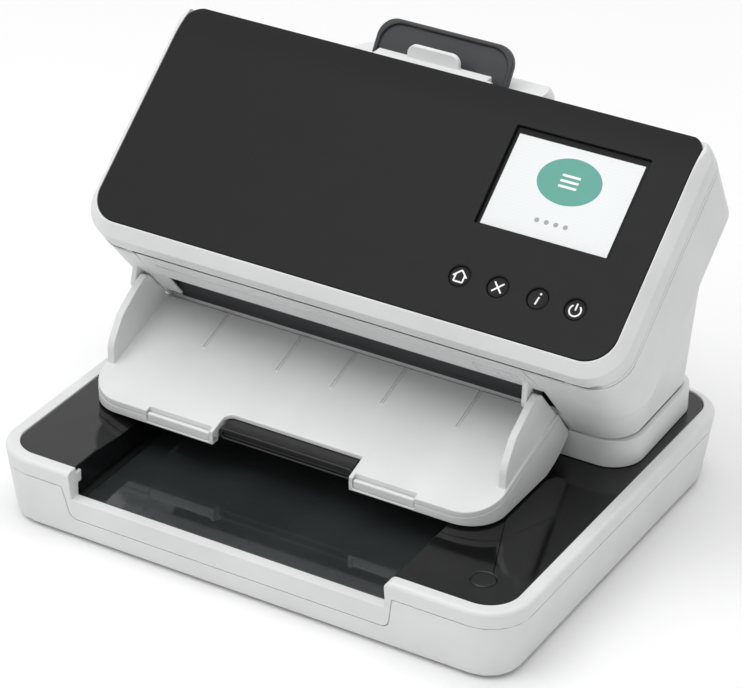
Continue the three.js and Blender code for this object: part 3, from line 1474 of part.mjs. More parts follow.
function outputTray() {
  const reach = outTop + overrun;
  const shell = raised(outPlan(0), outUnderside, reach);
  const above = run([
    [outFront - overrun, floorZ(outFront - overrun)], [footBack, floorZ(footBack)],
    [footBack, reach + overrun], [outFront - overrun, reach + overrun],
  ], -farSide, farSide);
  const hollow = common(
    raised(outPlan(outWall), 0, reach),
    run([
      [outFront - overrun, 0], [footBack, 0], [footBack, floorZ(footBack) - outFloor],
      [outFront - overrun, floorZ(outFront - overrun) - outFloor],
    ], -farSide, farSide),
  );
  const body = cut(shell, above, hollow);
  const gripRoom = block(
    gripLeft, gripRight, outFront - overrun, outFront + gripSunk + gripDeep, 0, frontRimZ + gripSunk,
  );
  const railLow = gripPlate + 2 * gap + gripRail;
  const rails = [[gripLeft - gripRail, gripLeft], [gripRight, gripRight + gripRail]].map(([x0, x1]) => run([
    [outFront + outWall, gripPlaneTop(outFront + outWall) - railLow],
    [gripPlateBack, gripPlaneTop(gripPlateBack) - railLow],
    [gripPlateBack, gripPlaneTop(gripPlateBack) + gap * 2],
    [outFront + outWall, gripPlaneTop(outFront + outWall) + gap * 2],
  ], x0, x1));
  const keepSpans = [gripLeft, gripRight].map((x) => [x - gripRail, x + gripRail]);
  const keeps = keepSpans.map(
    ([x0, x1]) => run([
      [outFront + gripSunk + gripDeep, gripPlaneTop(outFront + gripSunk + gripDeep) - railLow],
      [gripPlateBack, gripPlaneTop(gripPlateBack) - railLow],
      [gripPlateBack, gripPlaneTop(gripPlateBack) - railLow + gripRail],
      [outFront + gripSunk + gripDeep, gripPlaneTop(outFront + gripSunk + gripDeep) - railLow + gripRail],
    ], x0, x1),
  );
  const stopRooms = stops.map(({ x0, x1 }) => block(
    x0 - gap, x1 + gap, outFront - overrun, outFront + stopThick + gap, stopLow - gap, frontRimZ + overrun,
  ));
  const stopBacks = stops.map(({ x0, x1 }) => block(
    x0 - outWall, x1 + outWall, outFront + stopThick,
    outFront + stopThick + outWall, outUnderside, frontRimZ - gap,
  ));
  const stopLips = stops.map(({ x0, x1 }) => block(
    x0 - gap, x1 + gap, outFront, outFront + stopThick + gap, outUnderside, outUnderside + stopLipThick,
  ));
  const stopBores = stops.map(({ x0, x1 }) => rod(
    stopPivotY, stopPivotZ, stopPin + gap, x0 - gap - stopPinLong - gap,
    x1 + gap + stopPinLong + gap, smallSteps,
  ));
  const flanges = [flange(flangeOutLeft), flange(flangeInRight)];
  const ribs = [-3, -1, 1, 3].map((step) => {
    const x = (outLeft + outRight) / 2 + step * outRibLong * ribPitchShare;
    return run([
      [outRibBack - outRibLong, floorZ(outRibBack - outRibLong) - outRibHigh],
      [outRibBack, floorZ(outRibBack) - outRibHigh],
      [outRibBack, floorZ(outRibBack) + outRibHigh],
      [outRibBack - outRibLong, floorZ(outRibBack - outRibLong) + outRibHigh],
    ], x - outRibWide / 2, x + outRibWide / 2);
  });
  const solid = join(
    cut(body, gripRoom), ...rails, ...keeps, ...stopBacks, ...flanges, ...ribs,
  );
  const bored = cut(
    join(cut(solid, ...stopRooms), ...stopLips),
    ...stopBores,
    rod(outPivotY, outPivotZ, outPivotPin + gap, -farSide, farSide, smallSteps),
    block(gripLeft, gripRight, outFront - overrun, outFront + gripSunk + gripDeep, 0, frontRimZ + gripSunk),
  );
  return common(bored, trayRoom());
}
addPiece(scanner, 'output_tray', outputTray(), 'white');

function outputExtension() {
  const front = outFront + gripSunk;
  const [x0, x1] = [gripLeft + gap, gripRight - gap];
  const grip = deep(rounded(box2(
    x0, x1, gripBottom, floorZ(front) - gripTopDrop, (floorZ(front) - gripTopDrop - gripBottom) / 2,
  )), front, front + gripDeep - gap);
  const plate = run([
    [front + gripDeep / 2, gripPlaneTop(front + gripDeep / 2) - gripPlate],
    [gripPlateBack, gripPlaneTop(gripPlateBack) - gripPlate],
    [gripPlateBack, gripPlaneTop(gripPlateBack)],
    [front + gripDeep / 2, gripPlaneTop(front + gripDeep / 2)],
  ], x0 + gripRail, x1 - gripRail);
  return join(grip, plate);
}
addPiece(scanner, 'output_extension', outputExtension(), 'black');

stops.forEach(({ name, x0, x1 }) => {
  const flap = run(rounded([
    [outFront + gap, stopLow], [outFront + stopThick, stopLow],
    [outFront + stopThick, stopTop, stopThick / 2],
    [outFront + gap, stopTop, stopThick / 3],
  ]), x0, x1);
  const pins = rod(stopPivotY, stopPivotZ, stopPin, x0 - stopPinLong, x1 + stopPinLong, smallSteps);
  addPiece(scanner, name, join(flap, pins), 'white');
});

export default scanner;
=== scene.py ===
# A document scanner docked on a small flatbed: the finished surfaces over the fixed frame.
# Sizes are in millimetres. The front is at -Y, and the origin is on the table under the flatbed.
import math

import bmesh
import bpy
import numpy as np
from bpy.props import FloatProperty, FloatVectorProperty, PointerProperty
from mathutils import Matrix


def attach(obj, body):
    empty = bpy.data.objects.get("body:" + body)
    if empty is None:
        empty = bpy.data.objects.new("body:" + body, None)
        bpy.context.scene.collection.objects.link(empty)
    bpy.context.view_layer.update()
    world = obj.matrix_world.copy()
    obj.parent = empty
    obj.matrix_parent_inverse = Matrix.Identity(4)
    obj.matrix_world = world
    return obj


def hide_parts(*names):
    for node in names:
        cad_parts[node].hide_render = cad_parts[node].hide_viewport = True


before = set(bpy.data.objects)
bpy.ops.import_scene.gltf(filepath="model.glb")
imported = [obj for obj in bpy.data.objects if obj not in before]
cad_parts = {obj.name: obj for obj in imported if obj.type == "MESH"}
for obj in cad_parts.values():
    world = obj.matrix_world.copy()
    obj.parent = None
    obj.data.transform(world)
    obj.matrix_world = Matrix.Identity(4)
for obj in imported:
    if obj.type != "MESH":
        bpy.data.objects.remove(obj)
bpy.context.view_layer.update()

bl_info = {
    "name": "Desktop document scanner",
    "version": (1, 0, 0),
    "blender": (4, 5, 0),
    "location": "View3D > Sidebar > Scanner",
    "description": "Shells, panel, trays, finishes and stage of a document scanner on its flatbed",
    "category": "Add Mesh",
}

MM = 0.001

# Clearances, walls and counts shared by the whole machine
GAP = 0.3
OVERRUN = 30
SHELL_WALL = 2.4
ARC_STEPS = 14
ROUND_STEPS = 72
SMALL_STEPS = 32
CORNER_ROOM_SHARE = 0.49
TINY = 1e-9
HULL_STEPS = 8 * ROUND_STEPS
BASE_TURN_STEPS = 9
SLAB_TURN_STEPS = 7
LEFT = 0
RIGHT = 1

# Flatbed unit
BASE_HALF_WIDTH = 152.3
BASE_HALF_DEPTH = 122.2
BASE_CORNER = 24
BASE_DRAFT = 4.8
BASE_TURN = 4
BASE_UNDERSIDE = 1.2
BASE_FLOOR = 2.6
RIM_TOP = 43
RIM_TURN = 2.6
RIM_DEPTH = 5
SEAM_HEIGHT = 33
SEAM_DIP_HEIGHT = 14
SEAM_DIP_LEFT = -103.5
SEAM_DIP_RIGHT = 83.5
SEAM_DIP_LEAN = 3.5
SEAM_DIP_TURN = 5
SEAM_DIP_DEPTH = 9
NOTCH_LEFT = -101.9
NOTCH_RIGHT = 82.9
NOTCH_LEDGE = 26.4
NOTCH_TURN = 4
LEDGE_DEPTH = 8.5
LEDGE_THICK = 2.4
DECK_TOP = 42.2
DECK_PLATE = 2.2
DECK_HALF_WIDTH = 144.4
DECK_FRONT = -114.7
DECK_BACK = 118.3
DECK_CORNER = 16.5
DECK_SEAT = 4.4
WELL_SIDE = 1.1
WELL_BACK = 15
WELL_WALL = 2
SCOOP_RADIUS = 40
SCOOP_X = -77.5
SCOOP_Y = -65.8
SCOOP_DEPTH = 4
SCOOP_FLOOR = 1.8
SCOOP_RINGS = 18
SCOOP_MIDDLE_SHARE = 0.02
PLATEN_TOP = 24.3
DOT_X = 122.6
DOT_Y = -94.2
DOT_RADIUS = 6.4
DOT_GROOVE = 0.5
DOT_GROOVE_DEPTH = 0.35

# Foot of the scanner
FOOT_FRONT = 26.3
FOOT_BACK = 110.4
FOOT_HALF_FRONT = 140.2
FOOT_HALF_BACK = 138
FOOT_CORNER_FRONT = 18
FOOT_CORNER_BACK = 14
FOOT_TOP = 58.2
FOOT_FLOOR = 2.5
FOOT_LEDGE = 0.8

# Head frame, housing, bezel and panel
HEAD_TILT = math.radians(39.22)
HEAD_Y = -29.7
HEAD_Z = 136.5
HEAD_HALF_WIDTH = 156
HEAD_FRONT = 7
HEAD_LENGTH = 130.2
BEZEL_DEPTH = 16.85
BEVEL_DEPTH = 6.2
BEZEL_CORNER = 21.5
BEZEL_TOP_CORNER = 12
BEZEL_WALL = 2.6
BEZEL_BACK = 130.4
PANEL_HALF_WIDTH = 150.3
PANEL_CORNER = 16
PANEL_TOP_CORNER = 9
PANEL_THICK = 2.6
PANEL_LIP = 0.8
PANEL_FLAT = 108
PANEL_RADIUS = 55
PANEL_END = 129.6
HOUSING_DEPTH = 57.5
HOUSING_TURN = 2
HOUSING_BACK_DROP = 7.4
HOUSING_FRONT_RISE = 0.6
LOWER_HALF_TOP = 153.5
LOWER_BACK = 97
LOWER_TOP_DEPTH = 48
CREASE_DEPTH = 55
CREASE_FRONT = 4.7
CREASE_TURN = 35
CREASE_STEP = 2.5
CREASE_EDGE = 1.4
CREASE_GRID = 64

# Display and buttons
DISPLAY_LEFT = 54.3
DISPLAY_RIGHT = 129.4
DISPLAY_LOW = 53.9
DISPLAY_HIGH = 110.1
DISPLAY_SUNK = 2
DISPLAY_GLASS = 1
DISPLAY_CORNER = 1
LIT_LEFT = 56.7
LIT_RIGHT = 127
LIT_LOW = 55
LIT_HIGH = 106.5
LIT_THICK = 0.05
BUTTON_LINE = 24.6
BUTTON_X = {"home": 59.3, "cancel": 80.7, "info": 102.9, "power": 123.5}
BUTTON_RADIUS = 5.4
BUTTON_DISH = 6.9
BUTTON_DISH_DEPTH = 0.5
BUTTON_SUNK = 0.8
BUTTON_FLANGE = 1.2
BUTTON_FLANGE_THICK = 1
BUTTON_STEM = 2
BUTTON_STEM_LENGTH = 2.1
BUTTON_HOLLOW = 0.5
BUTTON_SHOULDER = ((0.97, GAP / 4), (0.93, 0))
BUTTON_HOLLOW_SHARE = 0.86
BUTTON_MIDDLE_SHARE = 0.1
BUTTON_RINGS = 9
BOARD_DEPTH = 7.4
BOARD_MARGIN = 10
BOSS_RADIUS = 2
MARK_HIGH = 0.06
MARK_LINE = 0.82
MARK_SCALE = 1.45
DISC_X = 92.5
DISC_S = 88.1
DISC_HALF_WIDE = 17.5
DISC_HALF_HIGH = 12.8
SHEET_LINES = 3
SHEET_LOW = 85.1
SHEET_HALF = 5
SHEET_STEP = 3
SHEET_LINE = 1.3
STATUS_DOTS = 4
STATUS_X = 84.5
STATUS_S = 64.5
STATUS_STEP = 5.3
STATUS_RADIUS = 1.3
SIGN_STEPS = 24

# Cover hinge
HINGE_LINE_DROP = 2.6
HINGE_SKIN = 1.5
HINGE_S = -4.8
HINGE_N = -17
KNUCKLE_RADIUS = 2.2
KNUCKLE_START = 126.6
KNUCKLE_WIDE = 4.1
PIN_RADIUS = 1.1

# Paper path, board and sockets
PATH_N = -27
PATH_HALF = 0.6
PATH_LEFT = -121.7
PATH_RIGHT = 97
GUIDE_NOSE = 2.2
GUIDE_NOSE_DROP = 12
BOARD_LIFT = 4
BOARD_THICK = 1.6
BOARD_LEFT = -108
BOARD_RIGHT = 50
BOARD_FRONT = 44
BOARD_BACK = 100
POST_RADIUS = 2.5
INLET_X = -66
INLET_HALF = 6
SOCKET_X = -24
SOCKET_HALF = 6.5
SOCKET_HIGH = 6

# Seams of the middle of the housing
SEAM_LEFT_TOP = -125.6
SEAM_LEFT_LOW = -128
SEAM_RIGHT_TOP = 101.4
SEAM_RIGHT_LOW = 107
SEAM_LEFT_TURN = -74
SEAM_RIGHT_TURN = -46
LIP_LOW = -44
MOUTH_LOW = -75.4
CHIN_BACK = 0.3
MOUTH_LEFT = -117.5
CHEEK_LOW = -67
CHEEK_SUNK = 1.1
CHEEK_THICK = 1.5

# Release lever
LEVER_X = -13.4
LEVER_HALF = 33.4
LEVER_TAB_HALF = 15.3
LEVER_Y = 84.2
LEVER_Z = 207.4
LEVER_TOP = 209.3
LEVER_THICK = 3
LEVER_BACK = 91.4
LEVER_TAB_TOP = 216.8
LEVER_TAB_CORNER = 5
LEVER_PIVOT = 1.2
LEVER_LUG = 2.3
LEVER_LUG_WIDE = 3

# Input tray and its extension
TRAY_TILT = math.radians(56.5)
TRAY_PIVOT_S = 130
TRAY_PIVOT_N = -50
TRAY_PLATE_TOP = 13
TRAY_PLATE_LOW = -22
TRAY_FACE = 19
TRAY_THICK = 4
TRAY_ARM = 4
TRAY_ARM_ROUND = 5
TRAY_STUB = 2.6
TRAY_EAR = 3
TRAY_EAR_ROUND = 5
POCKET_HALF = 57
POCKET_BACK = 6.5
POCKET_TOP = 24.4
POCKET_LOW = -8
POCKET_CORNER = 6
POCKET_ROUND = 9
LOOP_X = -13.4
LOOP_HALF = 40.2
LOOP_TOP = 36
LOOP_LOW = -41
LOOP_CORNER = 13.5
LOOP_RIM = 2.4
LOOP_RIM_HIGH = 1.6
LOOP_THICK = 2.4
LOOP_LIP = 2.5

# Output tray, its extension and the end stops
OUT_LEFT = -134
OUT_RIGHT = 106
OUT_FRONT = -61.3
OUT_CORNER = 20
OUT_FLOOR_Y = 11.8
OUT_FLOOR_Z = 75
OUT_SLOPE = 0.324
OUT_FLOOR = 2.6
OUT_UNDERSIDE = 43.5
OUT_WALL = 2.6
CHIN_FLOOR_Y = 27
CHIN_CLEAR = 0.45
FLANGE_THICK = 4.2
FLANGE_INSET = 1
OUT_PIVOT_Y = -8.5
OUT_PIVOT_Z = 92
OUT_PIVOT_ROUND = 4.5
OUT_PIVOT_PIN = 1.8
OUT_SWEEP = 49.6
LUG_WIDE = 3
LUG_GAP = 0.4
FLANGE_FRONT = -40.3
PIN_COVER = 0.8
OUT_RIB_HIGH = 0.3
OUT_RIB_WIDE = 1.4
OUT_RIB_BACK = 4
OUT_RIB_LONG = 18
OUT_RIBS = (-90, -45, -12, 18, 62)
OUT_GROOVE_DROP = 3.4
OUT_GROOVE = 0.35
GRIP_LEFT = -54
GRIP_RIGHT = 27
GRIP_SUNK = 5
GRIP_TOP_DROP = 0.8
GRIP_DEEP = 9
GRIP_BOTTOM = 45.6
GRIP_PLATE = 2
GRIP_PLATE_BACK = -4
GRIP_RAIL = 2
GRIP_STEP = 2.2
STOPS = {"left": (-94.3, -56.6), "right": (29.6, 64.6)}
STOP_THICK = 3
STOP_LOW = 45.2
STOP_DROP = 1.4
STOP_PIN = 0.9
STOP_PIN_LONG = 1.2
STOP_LIP_THICK = 1.1

# Roundings of the edges that differ from the ones of the other shells
LIP_ROUND = 0.25
BEZEL_ROUND = 0.6
PANEL_ROUND = 0.35
SCREEN_ROUND = 0.15
GRIP_ROUND = 0.4
STOP_ROUND = 0.3
LOOP_ROUND = 0.75
FINE_SEGMENTS = 3

# Camera, worked out from the photograph's vanishing points, and the photograph's frame
PHOTO_WIDE = 742
CAMERA_TURN = math.radians(30.006)
CAMERA_RISE = math.radians(30.069)
CAMERA_ROLL = math.radians(0.865)
CAMERA_PLACE = (744.0, -1282.3, 948.1)
CAMERA_LENS_PIXELS = 3340.3
SENSOR_WIDE = 36.0

# Stage, in metres: each light's place, the point it faces, the length of its side and its power
FLOOR_HALF = 5.0
CAMERA_FAR = 20
LIGHTS = {
    "key": ((-0.9, -1.1, 1.9), (0, 0, 0.08), 1.6, 13),
    "rear": ((0.3, 1.6, 1.5), (0, 0, 0.1), 1.4, 6),
    "top": ((0.0, -0.35, 2.1), (0, 0, 0.1), 1.8, 21),
}
ROOM_LIGHT = 0.53
ROOM_WHITE = 1.0

# Values worked out from the ones above
COS_HEAD = math.cos(HEAD_TILT)
SIN_HEAD = math.sin(HEAD_TILT)
FAR = HEAD_HALF_WIDTH + OVERRUN
LOWER_FLOOR = FOOT_TOP + GAP
CHIN_TOP = -BEZEL_DEPTH - GAP
KNUCKLE_END = KNUCKLE_START + KNUCKLE_WIDE
EAR_END = KNUCKLE_END + GAP + KNUCKLE_WIDE
FOOT_LOW_Z = DECK_TOP + GAP
BOARD_TOP_Z = RIM_TOP + FOOT_FLOOR + BOARD_LIFT + BOARD_THICK
FLANGE_LEFT = OUT_LEFT + FLANGE_INSET
FLANGE_RIGHT = OUT_RIGHT - FLANGE_INSET - FLANGE_THICK
OUT_TOP = OUT_PIVOT_Z + OUT_PIVOT_ROUND


# Each size and colour of the finish: its title, what it is for and its value
FINISH_SIZES = {
    "edge_round": ("Edge rounding", "Rounding of the moulded edges of the shells", 0.0005),
    "fine_round": ("Fine rounding", "Rounding of the edges of thin and inner pieces", 0.00025),
    "grain_height": ("Grain height", "Height of the fine grain on the pale shells", 0.00002),
}
FINISH_COLOURS = {
    "white": ("White plastic", "Shells, bezel and trays", (0.72, 0.725, 0.725)),
    "panel": ("Front panel", "Satin black panel and its buttons", (0.011, 0.011, 0.0115)),
    "deck": ("Deck", "Glossy black deck of the flatbed", (0.006, 0.006, 0.0065)),
    "black": ("Black plastic", "Paper guides, platen frame and tray grip", (0.012, 0.012, 0.0125)),
    "charcoal": ("Charcoal plastic", "Tray extension, side guides and small parts", (0.042, 0.043, 0.046)),
    "screen": ("Screen", "Lit ground of the display", (0.665, 0.685, 0.685)),
    "disc": ("Display disc", "Round sign on the display", (0.06, 0.3, 0.235)),
    "white_ink": ("White signs", "Sheet on the display and signs of the buttons", (0.82, 0.83, 0.83)),
    "grey_ink": ("Grey signs", "Dots on the display", (0.3, 0.31, 0.32)),
}


class ScannerSizes(bpy.types.PropertyGroup):
    """Small sizes of the finish, which the frame leaves open."""

    __annotations__ = {
        key: FloatProperty(name=title, description=use, default=value, min=0.0, unit="LENGTH")
        for key, (title, use, value) in FINISH_SIZES.items()
    }


class ScannerColours(bpy.types.PropertyGroup):
    """Colours of the finishes."""

    __annotations__ = {
        key: FloatVectorProperty(
            name=title, description=use, default=value, size=3, subtype="COLOR", min=0.0, max=1.0,
        )
        for key, (title, use, value) in FINISH_COLOURS.items()
    }


# Outlines: arrays of (a, b), counterclockwise


def rounded(corners, steps=ARC_STEPS, splits=1):
    """Outline through corners (a, b, radius). Each corner with a radius is an arc tangent to its two
    sides, in equal steps of angle. Each straight side is split into equal parts."""
    points = np.array([corner[:2] for corner in corners], float)
    radii = np.array([corner[2] if len(corner) > 2 else 0.0 for corner in corners])
    back = np.roll(points, 1, axis=0) - points
    ahead = np.roll(points, -1, axis=0) - points
    back_long = np.linalg.norm(back, axis=1)
    ahead_long = np.linalg.norm(ahead, axis=1)
    back /= back_long[:, None]
    ahead /= ahead_long[:, None]
    half = np.arccos(np.clip((back * ahead).sum(axis=1), -1, 1)) / 2
    reach = np.minimum(radii / np.tan(half), CORNER_ROOM_SHARE * np.minimum(back_long, ahead_long))
    turn = reach * np.tan(half)
    middle = back + ahead
    middle /= np.maximum(np.linalg.norm(middle, axis=1), TINY)[:, None]
    centre = points + middle * (turn / np.sin(half))[:, None]
    start = points + back * reach[:, None] - centre
    end = points + ahead * reach[:, None] - centre
    sweep = np.arctan2(start[:, 0] * end[:, 1] - start[:, 1] * end[:, 0], (start * end).sum(axis=1))
    pieces = []
    for i, point in enumerate(points):
        if radii[i] <= 0:
            pieces.append(point[None, :])
            continue
        angle = sweep[i] * np.linspace(0, 1, steps + 1)
        a = start[i, 0] * np.cos(angle) - start[i, 1] * np.sin(angle)
        b = start[i, 0] * np.sin(angle) + start[i, 1] * np.cos(angle)
        pieces.append(centre[i] + np.stack([a, b], axis=1))
    if splits > 1:
        share = np.linspace(0, 1, splits + 1)[1:-1, None]
        following = pieces[1:] + pieces[:1]
        sides = [here[-1] + (there[0] - here[-1]) * share for here, there in zip(pieces, following)]
        pieces = [part for pair in zip(pieces, sides) for part in pair]
    return np.concatenate(pieces)


def rectangle(a0, a1, b0, b1, radius=0.0, high_radius=None):
    """Corners of a rectangle. The two at its high side can have a radius of their own."""
    high = radius if high_radius is None else high_radius
    return [(a0, b0, radius), (a1, b0, radius), (a1, b1, high), (a0, b1, high)]


def circle(a, b, radius, steps=ROUND_STEPS):
    """Circle about (a, b), in equal steps of angle."""
    angle = np.linspace(0, 2 * math.pi, steps, endpoint=False)
    return np.stack([a + radius * np.cos(angle), b + radius * np.sin(angle)], axis=1)


def arc_path(a, b, radius, first, last, steps):
    """Arc about (a, b) between two angles in degrees, in equal steps of angle."""
    angle = np.radians(np.linspace(first, last, steps))
    return np.stack([a + radius * np.cos(angle), b + radius * np.sin(angle)], axis=1)


def hull(*groups):
    """Convex outline round sets of points: for each of many directions, the farthest point."""
    points = np.concatenate([np.atleast_2d(np.array(group, float)) for group in groups])
    angle = np.linspace(0, 2 * math.pi, HULL_STEPS, endpoint=False)
    reach = points @ np.stack([np.cos(angle), np.sin(angle)])
    order = reach.argmax(axis=0)
    kept = order[np.concatenate([[True], order[1:] != order[:-1]])]
    if kept[0] == kept[-1]:
        kept = kept[:-1]
    return points[kept]


def stroke(path, wide):
    """Ribbon of equal width along an open path: the path moved to either side by half the width."""
    path = np.array(path, float)
    along = np.gradient(path, axis=0)
    along /= np.linalg.norm(along, axis=1)[:, None]
    side = np.stack([-along[:, 1], along[:, 0]], axis=1) * wide / 2
    return np.concatenate([path - side, (path + side)[::-1]])


def counterclockwise(path):
    path = np.array(path, float)[:, :2]
    after = np.roll(path, -1, axis=0)
    area = (path[:, 0] * after[:, 1] - path[:, 1] * after[:, 0]).sum()
    return path if area > 0 else path[::-1]


# Solids: closed meshes, made in millimetres and kept in metres


def lofted(rings):
    """Closed body through rings (rings, points, 3), the lowest first: quads between neighbouring
    rings, and a flat face on each end."""
    rings = np.asarray(rings, float)
    levels, count = rings.shape[:2]
    here = np.arange(count)
    after = (here + 1) % count
    low = np.arange(levels - 1)[:, None] * count
    quads = np.stack([low + here, low + after, low + after + count, low + here + count], axis=-1)
    faces = quads.reshape(-1, 4).tolist()
    faces.append(here[::-1].tolist())
    faces.append((here + (levels - 1) * count).tolist())
    mesh = bpy.data.meshes.new("solid")
    mesh.from_pydata(rings.reshape(-1, 3) * MM, [], faces)
    return mesh


def flat_ring(path, z):
    return np.column_stack([path, np.full(len(path), z)])


def raised(path, z0, z1):
    """Outline in (x, y), raised from z0 to z1."""
    path = counterclockwise(path)
    return lofted([flat_ring(path, z0), flat_ring(path, z1)])


def run(path, x0, x1):
    """Outline in (y, z), run from x0 to x1."""
    path = counterclockwise(path)
    return lofted([np.column_stack([np.full(len(path), x), path]) for x in (x0, x1)])


def deep(path, y0, y1):
    """Outline in (x, z), run from y0 to y1."""
    path = counterclockwise(path)
    return lofted([np.insert(path, 1, y, axis=1) for y in (y1, y0)])


def block(x0, x1, y0, y1, z0, z1):
    return raised(rectangle(x0, x1, y0, y1), z0, z1)


def rod(y, z, radius, x0, x1, steps=SMALL_STEPS):
    return run(circle(y, z, radius, steps), x0, x1)


def post(x, y, radius, z0, z1, steps=SMALL_STEPS):
    return raised(circle(x, y, radius, steps), z0, z1)


def turned_round(x, y, profile, steps=ROUND_STEPS):
    """Profile of (radius, z) from the lowest ring up, turned round an upright axis at (x, y)."""
    return lofted([flat_ring(circle(x, y, radius, steps), z) for radius, z in profile])


def combined(how, first, *others):
    """One mesh joined with the others, cut by them or kept within them, in turn."""
    scene = bpy.context.scene
    objects = [bpy.data.objects.new("solid", mesh) for mesh in (first, *others)]
    for obj in objects:
        scene.collection.objects.link(obj)
    for other in objects[1:]:
        step = objects[0].modifiers.new("step", "BOOLEAN")
        step.operation = how
        step.solver = "MANIFOLD"
        step.object = other
    bpy.context.view_layer.update()
    graph = bpy.context.evaluated_depsgraph_get()
    result = bpy.data.meshes.new_from_object(objects[0].evaluated_get(graph))
    for obj in objects:
        bpy.data.objects.remove(obj)
    if not result.polygons:
        raise RuntimeError(f"nothing is left of a solid after {how}")
    return result


def join(first, *others):
    return combined("UNION", first, *others)


def cut(first, *others):
    return combined("DIFFERENCE", first, *others)


def common(first, *others):
    return combined("INTERSECT", first, *others)


def from_head(s, n):
    """(y, z) of a point at s up the panel and n out of it."""
    return HEAD_Y + s * COS_HEAD - n * SIN_HEAD, HEAD_Z + s * SIN_HEAD + n * COS_HEAD


def to_head(y, z):
    dy = y - HEAD_Y
    dz = z - HEAD_Z
    return dy * COS_HEAD + dz * SIN_HEAD, dz * COS_HEAD - dy * SIN_HEAD


HEAD_POSE = Matrix.Translation((0, HEAD_Y * MM, HEAD_Z * MM)) @ Matrix.Rotation(HEAD_TILT, 4, "X")
TRAY_Y, TRAY_Z = from_head(TRAY_PIVOT_S, TRAY_PIVOT_N)
TRAY_POSE = Matrix.Translation((0, TRAY_Y * MM, TRAY_Z * MM)) @ Matrix.Rotation(TRAY_TILT, 4, "X")


def posed(mesh, pose=HEAD_POSE):
    """A solid made in the frame of the head or of the input tray, moved to the table frame."""
    mesh.transform(pose)
    return mesh


def head_block(x0, x1, s0, s1, n0, n1):
    return posed(block(x0, x1, s0, s1, n0, n1))


def mirrored(near, far):
    """The same span on the left and on the right of the middle."""
    return (-far, -near), (near, far)


# Finishes

# Sizes of their noise are in millimetres, heights in metres
NOISE_LOW = 0.3
NOISE_HIGH = 0.7
DRIFT_SIZE = 38
POLISH_SIZE = 7
RUBBER_TONES = ((0.018, 0.018, 0.019), (0.04, 0.04, 0.041))
RUBBER_GRAIN = 0.00005
STEEL_STRETCH = 0.01
STEEL_TONES = ((0.42, 0.43, 0.44), (0.6, 0.61, 0.62))
STEEL_ROUGHNESS = (0.28, 0.42)
GLASS_ROUGHNESS = (0.02, 0.09)
GLASS_TONES = ((0.02, 0.024, 0.025), (0.03, 0.035, 0.036))
GLASS_INDEX = 1.52
SCREEN_ROWS = 180
ROW_SHARE = 0.975
SCREEN_GLOW = 0.03
TRACK_SCALE = 260
TRACK_HEIGHT = 0.00003
BOARD_TONES = ((0.06, 0.22, 0.1), (0.01, 0.08, 0.035))
INK_SHARE = 0.96
FLOOR_TONES = ((0.9, 0.9, 0.9), (0.92, 0.92, 0.92))
FLOOR_GLOSS = 0.1


def surface(name, roughness, metallic=0.0):
    """A new material: its node tree, its shader and its Object coordinates."""
    material = bpy.data.materials.new(name)
    material.use_nodes = True
    tree = material.node_tree
    shader = tree.nodes["Principled BSDF"]
    shader.inputs["Roughness"].default_value = roughness
    shader.inputs["Metallic"].default_value = metallic
    place = tree.nodes.new("ShaderNodeTexCoord").outputs["Object"]
    return material, tree, shader, place


def added(tree, kind, source, socket, values):
    """A new node, with values at some of its inputs and the source linked to one more."""
    node = tree.nodes.new(kind)
    for name, value in values.items():
        node.inputs[name].default_value = value
    tree.links.new(source, node.inputs[socket])
    return node


def noise(tree, place, size, detail=2.0):
    """Noise whose features are about size millimetres across."""
    values = {"Scale": 1 / (size * MM), "Detail": detail}
    return added(tree, "ShaderNodeTexNoise", place, "Vector", values).outputs["Fac"]


def mapped(tree, value, low=0.0, high=1.0):
    """Noise, which lies mostly between NOISE_LOW and NOISE_HIGH, spread from low to high."""
    values = {"From Min": NOISE_LOW, "From Max": NOISE_HIGH, "To Min": low, "To Max": high}
    return added(tree, "ShaderNodeMapRange", value, "Value", values).outputs["Result"]


def toned(tree, shader, share, first, second):
    """Base colour between first and second, by a share from 0 to 1."""
    node = tree.nodes.new("ShaderNodeMix")
    node.data_type = "RGBA"
    node.inputs[6].default_value = (*first, 1)
    node.inputs[7].default_value = (*second, 1)
    tree.links.new(share, node.inputs[0])
    tree.links.new(node.outputs[2], shader.inputs["Base Color"])
    return node.outputs[2]


def bumped(tree, shader, height, distance):
    node = added(tree, "ShaderNodeBump", height, "Height", {"Distance": distance, "Strength": 1.0})
    tree.links.new(node.outputs["Normal"], shader.inputs["Normal"])


def lit(tree, shader, tone, glow):
    tree.links.new(tone, shader.inputs["Emission Color"])
    shader.inputs["Emission Strength"].default_value = glow


def shaded(colour, share):
    return tuple(min(1.0, part * share) for part in colour)


def plastic(name, colour_name, roughness, grain, grain_share, spread, sheen_spread, gloss):
    """Moulded plastic: a fine grain, a faint drift of its colour and a change of its gloss."""
    colour = getattr(bpy.context.scene.scanner_colours, colour_name)
    height = bpy.context.scene.scanner_sizes.grain_height * grain_share
    material, tree, shader, place = surface(name, roughness)
    shader.inputs["Specular IOR Level"].default_value = gloss
    drift = mapped(tree, noise(tree, place, DRIFT_SIZE))
    toned(tree, shader, drift, shaded(colour, 1 - spread), shaded(colour, 1 + spread / 2))
    half = sheen_spread / 2
    polish = mapped(tree, noise(tree, place, POLISH_SIZE, detail=3), roughness - half, roughness + half)
    tree.links.new(polish, shader.inputs["Roughness"])
    bumped(tree, shader, noise(tree, place, grain, detail=4), height)
    return material


def rubber_finish():
    material, tree, shader, place = surface("soft_rubber", roughness=0.85)
    toned(tree, shader, mapped(tree, noise(tree, place, size=3, detail=5)), *RUBBER_TONES)
    bumped(tree, shader, noise(tree, place, size=0.5, detail=4), RUBBER_GRAIN)
    return material


